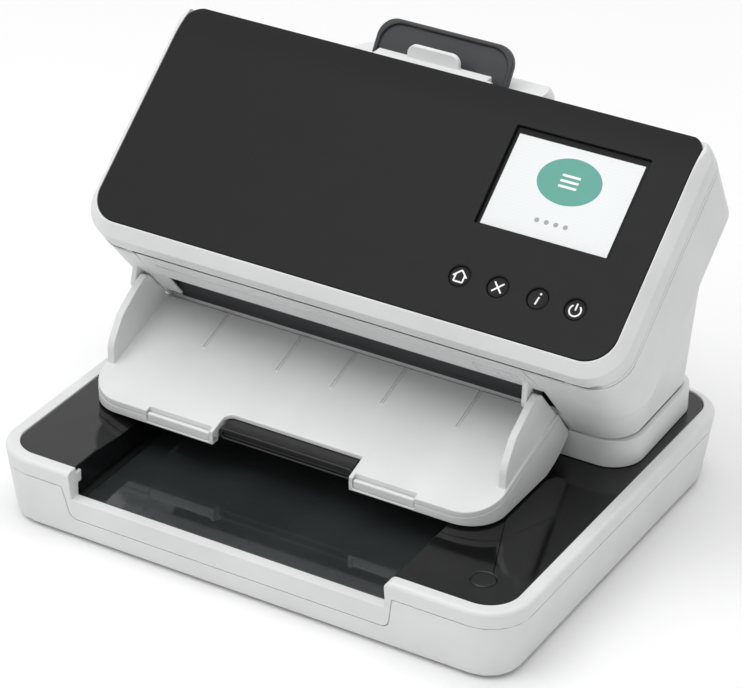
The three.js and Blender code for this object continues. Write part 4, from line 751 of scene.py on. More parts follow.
def steel_finish():
    """Steel with drawn lines along X: noise stretched along that axis."""
    material, tree, shader, place = surface("drawn_steel", roughness=0.34, metallic=1.0)
    stretch = added(tree, "ShaderNodeMapping", place, "Vector", {"Scale": (STEEL_STRETCH, 1, 1)})
    lines = noise(tree, stretch.outputs["Vector"], size=0.4, detail=3)
    toned(tree, shader, mapped(tree, lines), *STEEL_TONES)
    tree.links.new(mapped(tree, lines, *STEEL_ROUGHNESS), shader.inputs["Roughness"])
    return material


def glass_finish():
    """Platen glass over a dark inside: a clear, dark, glossy coat with a little dust."""
    material, tree, shader, place = surface("platen_glass_clear", roughness=0.04)
    dust = mapped(tree, noise(tree, place, size=2.5, detail=6), *GLASS_ROUGHNESS)
    tree.links.new(dust, shader.inputs["Roughness"])
    toned(tree, shader, mapped(tree, noise(tree, place, size=60)), *GLASS_TONES)
    shader.inputs["IOR"].default_value = GLASS_INDEX
    return material


def screen_finish():
    """Lit screen: rows of picture lines across it, drawn on the panel's slope."""
    colour = bpy.context.scene.scanner_colours.screen
    material, tree, shader, place = surface("lit_screen", roughness=0.16)
    slope = added(tree, "ShaderNodeMapping", place, "Vector", {"Rotation": (-HEAD_TILT, 0, 0)})
    wave = added(tree, "ShaderNodeTexWave", slope.outputs["Vector"], "Vector", {"Scale": SCREEN_ROWS})
    wave.bands_direction = "Y"
    tone = toned(tree, shader, wave.outputs["Fac"], shaded(colour, ROW_SHARE), colour)
    lit(tree, shader, tone, SCREEN_GLOW)
    return material


def board_finish():
    """Circuit board: green lacquer with lighter copper tracks in a square net."""
    material, tree, shader, place = surface("board_lacquer", roughness=0.4)
    cells = added(tree, "ShaderNodeTexVoronoi", place, "Vector", {"Scale": TRACK_SCALE})
    cells.distance = "MANHATTAN"
    toned(tree, shader, mapped(tree, cells.outputs["Distance"]), *BOARD_TONES)
    bumped(tree, shader, cells.outputs["Distance"], TRACK_HEIGHT)
    return material


def sign_finish(name, colour_name, glow):
    """Printed or lit sign: an even colour with a slight change of ink."""
    colour = getattr(bpy.context.scene.scanner_colours, colour_name)
    material, tree, shader, place = surface(name, roughness=0.4)
    ink = mapped(tree, noise(tree, place, size=1.5, detail=3))
    tone = toned(tree, shader, ink, shaded(colour, INK_SHARE), colour)
    if glow:
        lit(tree, shader, tone, glow)
    return material


# Each plastic: its material, its colour, its roughness, its grain in millimetres, its share of the
# grain height, the spread of its colour and of its roughness, and its gloss
PLASTICS = {
    "white_plastic": ("white_shell", "white", 0.46, 0.55, 1, 0.05, 0.06, 0.5),
    "panel_plastic": ("satin_panel", "panel", 0.42, 0.4, 1 / 2, 0.04, 0.03, 0.11),
    "deck_plastic": ("gloss_deck", "deck", 0.09, 9, 1 / 20, 0.1, 0.03, 0.42),
    "black_plastic": ("black_moulding", "black", 0.34, 0.5, 1 / 2, 0.1, 0.06, 0.5),
    "charcoal_plastic": ("charcoal_moulding", "charcoal", 0.45, 0.5, 1, 0.1, 0.06, 0.3),
    "screen_border": ("screen_border", "deck", 0.4, 0.4, 1 / 20, 0.1, 0.03, 0.1),
}
OTHER_FINISHES = {
    "rubber": rubber_finish,
    "steel": steel_finish,
    "scan_glass": glass_finish,
    "screen": screen_finish,
    "circuit_board": board_finish,
}

# Each sign: its colour and its glow
SIGNS = {
    "disc_sign": ("disc", 0.02),
    "white_sign": ("white_ink", 0.08),
    "grey_sign": ("grey_ink", 0.0),
}


def finish(slot):
    """The material of a slot, made once."""
    if slot not in finish.made:
        if slot in PLASTICS:
            finish.made[slot] = plastic(*PLASTICS[slot])
        elif slot in SIGNS:
            finish.made[slot] = sign_finish(slot, *SIGNS[slot])
        else:
            finish.made[slot] = OTHER_FINISHES[slot]()
    return finish.made[slot]


finish.made = {}

# Angles between faces: flat neighbours are joined, sharp edges rounded and what stays sharp is kept
FLAT_ANGLE = math.radians(0.05)
EDGE_ANGLE = math.radians(32)
SHARP_ANGLE = math.radians(50)
THROWN_SHARE = 0.6
MERGE_DISTANCE = MM / 500


def rounded_edges(obj, edge, segments):
    """Rounds the sharp edges. A corner that this throws off the solid is drawn back onto it: its
    distance from the solid, in widths of the rounding, is its weight in the pull."""
    core = bpy.data.objects.new("core", obj.data.copy())
    bpy.context.scene.collection.objects.link(core)
    group = obj.vertex_groups.new(name="thrown")
    group.add(range(len(obj.data.vertices)), 1.0, "REPLACE")
    bevel = obj.modifiers.new("edges", "BEVEL")
    bevel.width = edge
    bevel.segments = segments
    bevel.limit_method = "ANGLE"
    bevel.angle_limit = EDGE_ANGLE
    bevel.use_clamp_overlap = False
    bevel.loop_slide = False
    bevel.miter_outer = "MITER_ARC"
    distance = obj.modifiers.new("distance", "VERTEX_WEIGHT_PROXIMITY")
    distance.vertex_group = group.name
    distance.target = core
    distance.proximity_mode = "GEOMETRY"
    distance.proximity_geometry = {"FACE"}
    distance.min_dist = edge * THROWN_SHARE
    distance.max_dist = edge
    pull = obj.modifiers.new("pull", "SHRINKWRAP")
    pull.target = core
    pull.vertex_group = group.name
    return core


def softened(obj, edge, segments=2):
    """Rounds the edges within the box of the solid, then weights the normals by face between the
    edges that stay sharp, so that flats stay flat."""
    solid = obj.data
    if edge:
        limits = points_of(solid)
        core = rounded_edges(obj, edge, segments)
        bpy.context.view_layer.update()
        mesh = bpy.data.meshes.new_from_object(obj.evaluated_get(bpy.context.evaluated_depsgraph_get()))
        obj.modifiers.clear()
        obj.vertex_groups.clear()
        bpy.data.objects.remove(core)
        places = np.clip(points_of(mesh), limits.min(axis=0), limits.max(axis=0))
        mesh.vertices.foreach_set("co", places.ravel())
        mesh.update()
        mesh.name = solid.name
        obj.data = mesh
    obj.data.polygons.foreach_set("use_smooth", np.ones(len(obj.data.polygons), bool))
    obj.data.set_sharp_from_angle(angle=SHARP_ANGLE if edge else EDGE_ANGLE)
    weight = obj.modifiers.new("normals", "WEIGHTED_NORMAL")
    weight.keep_sharp = True


def points_of(mesh):
    places = np.empty(len(mesh.vertices) * 3)
    mesh.vertices.foreach_get("co", places)
    return places.reshape(-1, 3)


def piece(name, mesh, slot, body, nodes=(), edge=None, segments=2):
    """A finished piece: doubles merged, flat neighbours joined, edges rounded, riding on its body."""
    if edge is None:
        edge = bpy.context.scene.scanner_sizes.edge_round
    work = bmesh.new()
    work.from_mesh(mesh)
    bmesh.ops.remove_doubles(work, verts=work.verts, dist=MERGE_DISTANCE)
    bmesh.ops.dissolve_limit(
        work, angle_limit=FLAT_ANGLE, verts=work.verts, edges=work.edges, use_dissolve_boundaries=False,
    )
    bmesh.ops.triangulate(work, faces=[face for face in work.faces if len(face.verts) > 4])
    work.to_mesh(mesh)
    work.free()
    mesh.name = name
    mesh.materials.clear()
    mesh.materials.append(finish(slot))
    obj = bpy.data.objects.new(name, mesh)
    bpy.context.scene.collection.objects.link(obj)
    softened(obj, edge, segments)
    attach(obj, body)
    if nodes:
        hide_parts(*nodes)
    return obj


# Flatbed unit


def base_ring(inset, z):
    w = BASE_HALF_WIDTH - inset
    d = BASE_HALF_DEPTH - inset
    return flat_ring(rounded(rectangle(-w, w, -d, d, BASE_CORNER - inset), 2 * ARC_STEPS), z)


def base_body():
    """Outer form: rings whose inset and height follow a quarter turn at the underside and at the rim."""
    turn = np.linspace(0, math.pi / 2, BASE_TURN_STEPS)
    rings = [
        base_ring(BASE_DRAFT + BASE_TURN * (1 - math.cos(t)), BASE_UNDERSIDE + BASE_TURN * (1 - math.sin(t)))
        for t in turn[::-1]
    ]
    rings += [
        base_ring(RIM_TURN * (1 - math.cos(t)), RIM_TOP - RIM_TURN * (1 - math.sin(t))) for t in turn
    ]
    return lofted(rings)


BASE_INSIDE = BASE_UNDERSIDE + BASE_FLOOR
WELL_LEFT = NOTCH_LEFT - WELL_SIDE
WELL_RIGHT = NOTCH_RIGHT + WELL_SIDE
WELL_FRONT = DECK_FRONT + DECK_SEAT
LEDGE_BACK = -BASE_HALF_DEPTH + LEDGE_DEPTH
DECK_LOW = DECK_TOP - DECK_PLATE


def base_hollow():
    return lofted([
        base_ring(BASE_DRAFT + BASE_TURN + SHELL_WALL, BASE_INSIDE),
        base_ring(BASE_DRAFT + SHELL_WALL, BASE_INSIDE + BASE_TURN),
        base_ring(SHELL_WALL, RIM_TOP - RIM_DEPTH),
    ])


def seam_above(z):
    return block(-FAR, FAR, -FAR, FAR, z, RIM_TOP + OVERRUN)


def seam_dip(grow):
    """Where the seam runs low along the front, under the notch."""
    low = SEAM_DIP_HEIGHT - grow
    path = rounded([
        (SEAM_DIP_LEFT - grow, low, SEAM_DIP_TURN),
        (SEAM_DIP_RIGHT + grow, low, SEAM_DIP_TURN),
        (SEAM_DIP_RIGHT + SEAM_DIP_LEAN + grow, SEAM_HEIGHT + GAP),
        (SEAM_DIP_LEFT - SEAM_DIP_LEAN - grow, SEAM_HEIGHT + GAP),
    ])
    return deep(path, -FAR, -BASE_HALF_DEPTH + SEAM_DIP_DEPTH)


def deck_path(grow):
    w = DECK_HALF_WIDTH + grow
    return rounded(rectangle(-w, w, DECK_FRONT - grow, DECK_BACK + grow, DECK_CORNER + grow), 2 * ARC_STEPS)


def notch_room():
    """The notch in the rim, with the top corner of its right end rounded."""
    centre = NOTCH_RIGHT + NOTCH_TURN
    above = RIM_TOP + OVERRUN
    path = np.concatenate([
        [(NOTCH_LEFT, NOTCH_LEDGE), (NOTCH_RIGHT, NOTCH_LEDGE)],
        arc_path(centre, RIM_TOP - NOTCH_TURN, NOTCH_TURN, 180, 90, ARC_STEPS),
        [(centre, above), (NOTCH_LEFT, above)],
    ])
    return deep(path, -FAR, WELL_FRONT)


def rim_shell():
    upper = common(base_body(), join(seam_above(SEAM_HEIGHT + GAP / 2), seam_dip(0)))
    ledge = block(
        NOTCH_LEFT - SHELL_WALL, NOTCH_RIGHT + SHELL_WALL, -BASE_HALF_DEPTH + SHELL_WALL, LEDGE_BACK,
        NOTCH_LEDGE - LEDGE_THICK, NOTCH_LEDGE,
    )
    ends = [
        block(x0, x1, -BASE_HALF_DEPTH + SHELL_WALL, WELL_FRONT, PLATEN_TOP + GAP, RIM_TOP - RIM_DEPTH + GAP)
        for x0, x1 in ((NOTCH_LEFT - SHELL_WALL, NOTCH_LEFT), (NOTCH_RIGHT, NOTCH_RIGHT + SHELL_WALL))
    ]
    opening = raised(deck_path(-DECK_SEAT), SEAM_HEIGHT - OVERRUN, RIM_TOP + OVERRUN)
    return cut(
        upper,
        cut(base_hollow(), ledge, *ends),
        cut(opening, join(ledge, *ends)),
        raised(deck_path(GAP), DECK_LOW - GAP, RIM_TOP + OVERRUN),
        notch_room(),
    )


def deck_shell():
    """Deck with its well walls and its finger scoop, a dish whose depth falls with the square of the
    distance from its middle."""
    plate = raised(deck_path(0), DECK_LOW, DECK_TOP)
    walls = block(
        WELL_LEFT - WELL_WALL, WELL_RIGHT + WELL_WALL, WELL_FRONT + GAP, WELL_BACK + WELL_WALL,
        PLATEN_TOP + GAP, DECK_TOP,
    )
    scoop_low = DECK_TOP - SCOOP_DEPTH
    boss = common(
        post(SCOOP_X, SCOOP_Y, SCOOP_RADIUS + WELL_WALL, scoop_low - SCOOP_FLOOR, DECK_TOP, ROUND_STEPS),
        block(-FAR, WELL_LEFT, -FAR, FAR, 0, DECK_TOP),
    )
    shares = np.linspace(SCOOP_MIDDLE_SHARE, 1, SCOOP_RINGS)
    dish = [(SCOOP_RADIUS * share, scoop_low + SCOOP_DEPTH * share ** 2) for share in shares]
    dish.append((SCOOP_RADIUS, RIM_TOP + OVERRUN))
    dot = cut(
        post(DOT_X, DOT_Y, DOT_RADIUS + DOT_GROOVE / 2, DECK_TOP - DOT_GROOVE_DEPTH, RIM_TOP, ROUND_STEPS),
        post(DOT_X, DOT_Y, DOT_RADIUS - DOT_GROOVE / 2, 0, RIM_TOP + OVERRUN, ROUND_STEPS),
    )
    return cut(
        join(plate, walls, boss),
        block(WELL_LEFT, WELL_RIGHT, -FAR, WELL_BACK, 0, RIM_TOP + OVERRUN),
        turned_round(SCOOP_X, SCOOP_Y, dish),
        dot,
    )


# Housing of the head and foot


def slab_ring(inset, depth):
    share = (depth - BEZEL_DEPTH) / (HOUSING_DEPTH - BEZEL_DEPTH)
    low = -HEAD_FRONT + HOUSING_FRONT_RISE * share + inset
    high = HEAD_LENGTH - HOUSING_BACK_DROP * share - inset
    w = HEAD_HALF_WIDTH - inset
    ring = rounded(rectangle(-w, w, low, high, BEZEL_CORNER - inset, BEZEL_TOP_CORNER - inset))
    return np.column_stack([ring[:, 0], *from_head(ring[:, 1], -depth)])


def slab(inset, top, bottom, turn):
    """The tilted block, with a quarter turn of the given radius round its lower edge."""
    angle = np.linspace(math.pi / 2, 0, SLAB_TURN_STEPS)
    rings = [slab_ring(inset + turn * (1 - math.cos(t)), bottom - turn * (1 - math.sin(t))) for t in angle]
    return lofted([*rings, slab_ring(inset, top)])


def foot_corners(inset):
    front = FOOT_FRONT + inset
    back = FOOT_BACK - inset
    wide = FOOT_HALF_FRONT - inset
    narrow = FOOT_HALF_BACK - inset
    return [
        (-wide, front, FOOT_CORNER_FRONT), (wide, front, FOOT_CORNER_FRONT),
        (narrow, back, FOOT_CORNER_BACK), (-narrow, back, FOOT_CORNER_BACK),
    ]


def foot_ring(inset, z, splits=1):
    return flat_ring(rounded(foot_corners(inset), ARC_STEPS, splits), z)


def waist_ring(half, front, back, depth, splits=1):
    ring = rounded(rectangle(-half, half, front, back, BEZEL_CORNER, FOOT_CORNER_BACK), ARC_STEPS, splits)
    return np.column_stack([ring[:, 0], *from_head(ring[:, 1], -depth)])


def crease_share(y, z):
    """0 on the front column and 1 in the recess behind the crease. The crease is the line at
    CREASE_DEPTH under the panel and an upright line, with an arc between them."""
    n = to_head(y, z)[1]
    inside = np.minimum(-CREASE_DEPTH - n, y - CREASE_FRONT)
    centre_y = CREASE_FRONT + CREASE_TURN
    centre_z = HEAD_Z + ((centre_y - HEAD_Y) * SIN_HEAD - CREASE_DEPTH - CREASE_TURN) / COS_HEAD
    angle = np.arctan2(z - centre_z, centre_y - y)
    on_arc = (angle > 0) & (angle < math.pi / 2 - HEAD_TILT)
    inside = np.where(on_arc, CREASE_TURN - np.hypot(y - centre_y, z - centre_z), inside)
    share = np.clip(inside / CREASE_EDGE, 0, 1)
    return share * share * (3 - 2 * share)


def lower_body():
    """The part between the foot and the block: straight lines from the foot's ring to the block's
    lower edge, then narrowed by CREASE_STEP behind the crease."""
    front = -HEAD_FRONT + HOUSING_FRONT_RISE
    low = foot_ring(FOOT_LEDGE, LOWER_FLOOR, CREASE_GRID)
    turn_depth = HOUSING_DEPTH - HOUSING_TURN
    high = waist_ring(HEAD_HALF_WIDTH - GAP / 4, front, LOWER_BACK, turn_depth, CREASE_GRID)
    top = waist_ring(HEAD_HALF_WIDTH - GAP, front + GAP / 2, LOWER_BACK, LOWER_TOP_DEPTH, CREASE_GRID)
    share = np.linspace(0, 1, CREASE_GRID + 1)[:, None, None]
    rings = np.concatenate([low + (high - low) * share, top[None]])
    narrow = 1 - CREASE_STEP / HEAD_HALF_WIDTH * crease_share(rings[..., 1], rings[..., 2])
    rings[..., 0] *= narrow
    return lofted(rings)


def lower_hollow():
    low = foot_ring(FOOT_LEDGE + SHELL_WALL + CREASE_STEP, LOWER_FLOOR)
    down = low - np.array([0, 0, OVERRUN / 2])
    front = -HEAD_FRONT + HOUSING_FRONT_RISE + SHELL_WALL
    half = LOWER_HALF_TOP - SHELL_WALL
    return lofted([down, low, waist_ring(half, front, LOWER_BACK - SHELL_WALL, LOWER_TOP_DEPTH)])


def housing_shell():
    body = join(slab(0, -CHIN_TOP, HOUSING_DEPTH, HOUSING_TURN), lower_body())
    hollow = join(
        slab(SHELL_WALL, -CHIN_TOP - OVERRUN, HOUSING_DEPTH - SHELL_WALL, HOUSING_TURN), lower_hollow(),
    )
    line = -CHIN_TOP + HINGE_LINE_DROP
    groove = cut(slab(-OVERRUN / 2, line, line + GAP, 0), slab(GAP, line - OVERRUN, line + OVERRUN, 0))
    return cut(body, hollow, groove)


HOUSING_REACH = HEAD_LENGTH + OVERRUN
DEEPEST = -HEAD_LENGTH - 2 * OVERRUN


def middle_zone(grow):
    """The zone between the two side covers, in (x, n), run along the panel's height."""
    return posed(deep([
        (SEAM_LEFT_LOW - grow, DEEPEST), (SEAM_RIGHT_LOW + grow, DEEPEST),
        (SEAM_RIGHT_LOW + grow, SEAM_RIGHT_TURN), (SEAM_RIGHT_TOP + grow, CHIN_TOP),
        (SEAM_RIGHT_TOP + grow, OVERRUN), (SEAM_LEFT_TOP - grow, OVERRUN),
        (SEAM_LEFT_TOP - grow, CHIN_TOP), (SEAM_LEFT_LOW - grow, SEAM_LEFT_TURN),
    ], -4 * OVERRUN, HOUSING_REACH))


def hinge_cut():
    return posed(rod(HINGE_S, HINGE_N, KNUCKLE_RADIUS + GAP, -FAR, FAR))


def hinge_bore():
    return rod(HINGE_S, HINGE_N, PIN_RADIUS + GAP, -FAR, FAR)


def hinge_leaf(x0, x1, n0, n1):
    return join(
        rod(HINGE_S, HINGE_N, KNUCKLE_RADIUS, x0, x1),
        block(x0, x1, HINGE_S - KNUCKLE_RADIUS, HINGE_S + KNUCKLE_RADIUS, n0, n1),
    )


LUG_S, LUG_N = to_head(OUT_PIVOT_Y, OUT_PIVOT_Z)
LUG_LEFT = FLANGE_LEFT - LUG_GAP
LUG_RIGHT = FLANGE_RIGHT - LUG_GAP


def tray_lug(x0, x1, root_top, root_low):
    root = -HEAD_FRONT + SHELL_WALL / 2
    outline = hull(circle(LUG_S, LUG_N, OUT_PIVOT_ROUND - GAP), [(root, root_top), (root, root_low)])
    return posed(run(outline, x0, x1))


def out_pin(x0, x1):
    return rod(OUT_PIVOT_Y, OUT_PIVOT_Z, OUT_PIVOT_PIN, x0, x1)


def side_cover(shell, side):
    zone = block(*mirrored(0, FAR)[side], -FAR, FAR, 0, 2 * FAR)
    ear = posed(common(
        hinge_leaf(*mirrored(KNUCKLE_END + GAP, EAR_END)[side], CHIN_TOP - 2 * SHELL_WALL, HINGE_N),
        block(-FAR, FAR, HINGE_SKIN - HEAD_FRONT, HEAD_FRONT, DEEPEST, 0),
    ))
    cover = join(cut(common(shell, zone), middle_zone(GAP / 2), hinge_cut()), ear)
    return cut(cover, posed(hinge_bore()))


def left_side():
    """What only the left cover has: a plate beside the mouth, and the tray's lug with its pin."""
    front = CHEEK_SUNK - HEAD_FRONT
    cheek = head_block(
        SEAM_LEFT_LOW - SHELL_WALL, MOUTH_LEFT, front, front + CHEEK_THICK, CHEEK_LOW, LIP_LOW - GAP,
    )
    lug = tray_lug(LUG_LEFT - LUG_WIDE, LUG_LEFT, LUG_N + 2 * OUT_PIVOT_ROUND, LUG_N - OUT_PIVOT_ROUND)
    return cheek, lug, out_pin(LUG_LEFT - GAP, FLANGE_LEFT + FLANGE_THICK - 2 * PIN_COVER)


LIP_LINES = (-25.5, -29.5)
LIP_LINE_LEFT_SHORT = 8
LIP_LINE_RIGHT_SHORT = 5
LIP_LINE_DEEP = 0.25
DIMPLE_RADIUS = 0.55
DIMPLE_STEPS = 10
DIMPLE_STEP = 4.2
DIMPLE_ROW_STEP = 5.2
DIMPLE_LEFT = 71
DIMPLE_TOP = -31
DIMPLE_COLUMNS = 8
DIMPLE_ROWS = 3


def lip_face(n):
    """How far up the panel the housing's front lies at depth n under the panel's face."""
    return -HEAD_FRONT - HOUSING_FRONT_RISE * (n + BEZEL_DEPTH) / (HOUSING_DEPTH - BEZEL_DEPTH)


def speaker_dimples():
    """Rows of small round holes in the lip, from its front face inwards."""
    places = [
        (DIMPLE_LEFT + i * DIMPLE_STEP, DIMPLE_TOP - k * DIMPLE_ROW_STEP)
        for i in range(DIMPLE_COLUMNS) for k in range(DIMPLE_ROWS)
    ]
    back = SHELL_WALL / 2 - HEAD_FRONT
    return [
        posed(deep(circle(*place, DIMPLE_RADIUS, DIMPLE_STEPS), -HEAD_FRONT - GAP, back)) for place in places
    ]


def exit_lip(middle):
    zone = head_block(-FAR, FAR, -OVERRUN, CHIN_BACK, LIP_LOW, OVERRUN)
    lug = tray_lug(LUG_RIGHT - LUG_WIDE, LUG_RIGHT, LIP_LOW + 2 * OUT_PIVOT_ROUND, LIP_LOW + GAP)
    lines = [
        head_block(
            SEAM_LEFT_TOP + LIP_LINE_LEFT_SHORT, SEAM_RIGHT_TOP - LIP_LINE_RIGHT_SHORT,
            -HEAD_FRONT - OVERRUN, lip_face(n) + LIP_LINE_DEEP, n - LIP_LINE_DEEP / 2, n + LIP_LINE_DEEP / 2,
        )
        for n in LIP_LINES
    ]
    lip = cut(common(middle, zone), hinge_cut(), *lines, *speaker_dimples())
    return join(lip, lug, out_pin(LUG_RIGHT - GAP, FLANGE_RIGHT + FLANGE_THICK - 2 * PIN_COVER))


EAR_LEFT = PATH_LEFT + TRAY_EAR
EAR_RIGHT = PATH_RIGHT - TRAY_EAR


def rear_shell(middle):
    back = head_block(-FAR, FAR, LOWER_BACK / 2, HOUSING_REACH, DEEPEST, TRAY_PIVOT_N - SHELL_WALL)
    wall_back = block(-FAR, FAR, (FOOT_FRONT + FOOT_BACK) / 2, 2 * FAR, 0, HEAD_Z)
    root_s = TRAY_PIVOT_S - 4 * TRAY_EAR_ROUND
    root_n = SHELL_WALL / 2 - HOUSING_DEPTH
    root = hull(circle(TRAY_PIVOT_S, TRAY_PIVOT_N, TRAY_EAR_ROUND), [
        (root_s, root_n), (root_s, root_n + 1.5 * SHELL_WALL), (root_s + 2 * TRAY_EAR_ROUND, root_n),
    ])
    hole = rod(TRAY_PIVOT_S, TRAY_PIVOT_N, TRAY_STUB + GAP, PATH_LEFT - OVERRUN, PATH_RIGHT + OVERRUN)
    ears = [
        posed(cut(run(root, x0, x1), hole)) for x0, x1 in ((PATH_LEFT, EAR_LEFT), (EAR_RIGHT, PATH_RIGHT))
    ]
    return join(common(middle, join(back, wall_back)), *ears)


def foot_shell(middle):
    floor_top = FOOT_LOW_Z + FOOT_FLOOR
    skirt = cut(
        raised(rounded(foot_corners(0)), FOOT_LOW_Z, FOOT_TOP),
        raised(rounded(foot_corners(FOOT_LEDGE + SHELL_WALL)), floor_top, FOOT_TOP + OVERRUN),
    )
    chin_wall = common(middle, head_block(-FAR, FAR, -OVERRUN, CHIN_BACK, DEEPEST, MOUTH_LOW))
    wall_front = FOOT_FRONT + FOOT_LEDGE
    bridge = block(
        SEAM_LEFT_LOW + GAP, SEAM_RIGHT_LOW - GAP, wall_front, wall_front + SHELL_WALL,
        FOOT_TOP - SHELL_WALL, LOWER_FLOOR + GAP,
    )
    posts = [
        post(x, y, POST_RADIUS, floor_top - GAP, BOARD_TOP_Z - BOARD_THICK - GAP)
        for x in (BOARD_LEFT + 2 * POST_RADIUS, BOARD_RIGHT - 2 * POST_RADIUS)
        for y in (BOARD_FRONT + 2 * POST_RADIUS, BOARD_BACK - 2 * POST_RADIUS)
    ]
    holes = [
        block(
            x - half - GAP, x + half + GAP, BOARD_BACK, FOOT_BACK + OVERRUN,
            BOARD_TOP_Z, BOARD_TOP_Z + SOCKET_HIGH + 2 * GAP,
        )
        for x, half in ((INLET_X, INLET_HALF), (SOCKET_X, SOCKET_HALF))
    ]
    return cut(join(skirt, chin_wall, bridge, *posts), *holes)


def mouth_ramp():
    """Dark slope inside the mouth, from the foot's front wall up to the lower guide. It is a real wall, and
    its charcoal is also painted shade for the shade that fills the mouth.
    """
    low_y, low_z = from_head(-HEAD_FRONT + SHELL_WALL, MOUTH_LOW - SHELL_WALL)
    high_y, high_z = from_head(GUIDE_NOSE + SHELL_WALL, PATH_N - PATH_HALF - GUIDE_NOSE_DROP - 2 * GAP)
    return run([
        (low_y, low_z), (low_y + SHELL_WALL, low_z), (high_y + SHELL_WALL, high_z), (high_y, high_z),
    ], PATH_LEFT, PATH_RIGHT)


# Cover: bezel, panel, display and buttons, made in the head frame


def face_line(drop, start, end):
    """The panel's face in (s, n): flat to PANEL_FLAT, then turned down on PANEL_RADIUS."""
    radius = PANEL_RADIUS - drop
    angle = np.linspace(0, math.asin((end - PANEL_FLAT) / radius), ARC_STEPS)
    turned = np.stack([PANEL_FLAT + radius * np.sin(angle), -PANEL_RADIUS + radius * np.cos(angle)], axis=1)
    return np.concatenate([[(start, -drop)], turned])


def under_face(drop, start, end, depth):
    face = face_line(drop, start, end)
    return np.concatenate([[(start, -depth), (face[-1, 0], -depth)], face[::-1]])


def bezel_outline(side, low, high, corner, top_corner):
    w = HEAD_HALF_WIDTH - side
    return rounded(rectangle(-w, w, low - HEAD_FRONT, BEZEL_BACK + high, corner, top_corner), 2 * ARC_STEPS)


def bezel_shell():
    """White frame round the panel: straight sides, then a bevel up to the panel's lip."""
    outer = bezel_outline(0, 0, 0, BEZEL_CORNER, BEZEL_TOP_CORNER)
    inner = bezel_outline(
        HEAD_HALF_WIDTH - PANEL_HALF_WIDTH - PANEL_LIP - GAP, HEAD_FRONT - PANEL_LIP, 0,
        PANEL_CORNER + PANEL_LIP, PANEL_TOP_CORNER + PANEL_LIP,
    )
    outside = lofted([flat_ring(outer, -BEZEL_DEPTH), flat_ring(outer, -BEVEL_DEPTH), flat_ring(inner, 0)])
    side = run(under_face(0, -2 * HEAD_FRONT, PANEL_END, 2 * BEZEL_DEPTH), -FAR, FAR)
    half = PANEL_HALF_WIDTH + GAP
    recess = common(
        raised(
            rounded(rectangle(-half, half, 0, BEZEL_BACK + OVERRUN, PANEL_CORNER, 0), 2 * ARC_STEPS),
            -OVERRUN, OVERRUN,
        ),
        cut(
            block(-FAR, FAR, -OVERRUN, BEZEL_BACK + OVERRUN, -OVERRUN, OVERRUN),
            run(under_face(PANEL_THICK + GAP, -2 * OVERRUN, BEZEL_BACK + 1.5 * GAP, 2 * OVERRUN), -FAR, FAR),
        ),
    )
    room = raised(bezel_outline(
        BEZEL_WALL, BEZEL_WALL, -BEZEL_WALL, BEZEL_CORNER - BEZEL_WALL, BEZEL_TOP_CORNER - BEZEL_WALL,
    ), -OVERRUN, -BEVEL_DEPTH - BEZEL_WALL)
    window = raised(rounded(rectangle(
        -PANEL_HALF_WIDTH + BEZEL_WALL, PANEL_HALF_WIDTH - BEZEL_WALL,
        BEZEL_WALL, PANEL_FLAT + BEZEL_CORNER / 2, PANEL_CORNER,
    )), -OVERRUN, BEZEL_WALL / 2 - PANEL_THICK - GAP)
    skin = block(-FAR, FAR, -HEAD_FRONT - OVERRUN, HINGE_SKIN - GAP - HEAD_FRONT, -OVERRUN, OVERRUN)
    room_back = HINGE_S + KNUCKLE_RADIUS + GAP
    ear_rooms = [
        cut(
            join(
                rod(HINGE_S, HINGE_N, KNUCKLE_RADIUS + GAP, x0, x1),
                block(x0, x1, -HEAD_FRONT - GAP, room_back, HINGE_N - 3 * BEZEL_WALL, HINGE_N),
            ),
            skin,
        )
        for x0, x1 in mirrored(KNUCKLE_END + GAP / 2, EAR_END + GAP / 2)
    ]
    leaves = [
        common(
            hinge_leaf(x0, x1, HINGE_N, HINGE_N + 1.5 * BEZEL_WALL),
            block(x0, x1, -HEAD_FRONT, HEAD_FRONT, -OVERRUN, 0),
        )
        for x0, x1 in mirrored(KNUCKLE_START, KNUCKLE_END)
    ]
    pivot_s, pivot_n = to_head(LEVER_Y, LEVER_Z)
    root = BEZEL_BACK - BEZEL_WALL / 2
    outline = hull(circle(pivot_s, pivot_n, LEVER_LUG), [
        (root, -BEZEL_DEPTH + GAP), (root, -BEZEL_DEPTH + LEVER_LUG * 2),
    ])
    near = LEVER_HALF + GAP
    lugs = [
        run(outline, LEVER_X + x0, LEVER_X + x1) for x0, x1 in mirrored(near, near + LEVER_LUG_WIDE)
    ]
    lug_bore = rod(pivot_s, pivot_n, LEVER_PIVOT + GAP, -FAR, FAR)
    body = cut(common(outside, side), recess, room, window, *ear_rooms)
    return posed(cut(join(body, *leaves, *lugs), hinge_bore(), lug_bore))


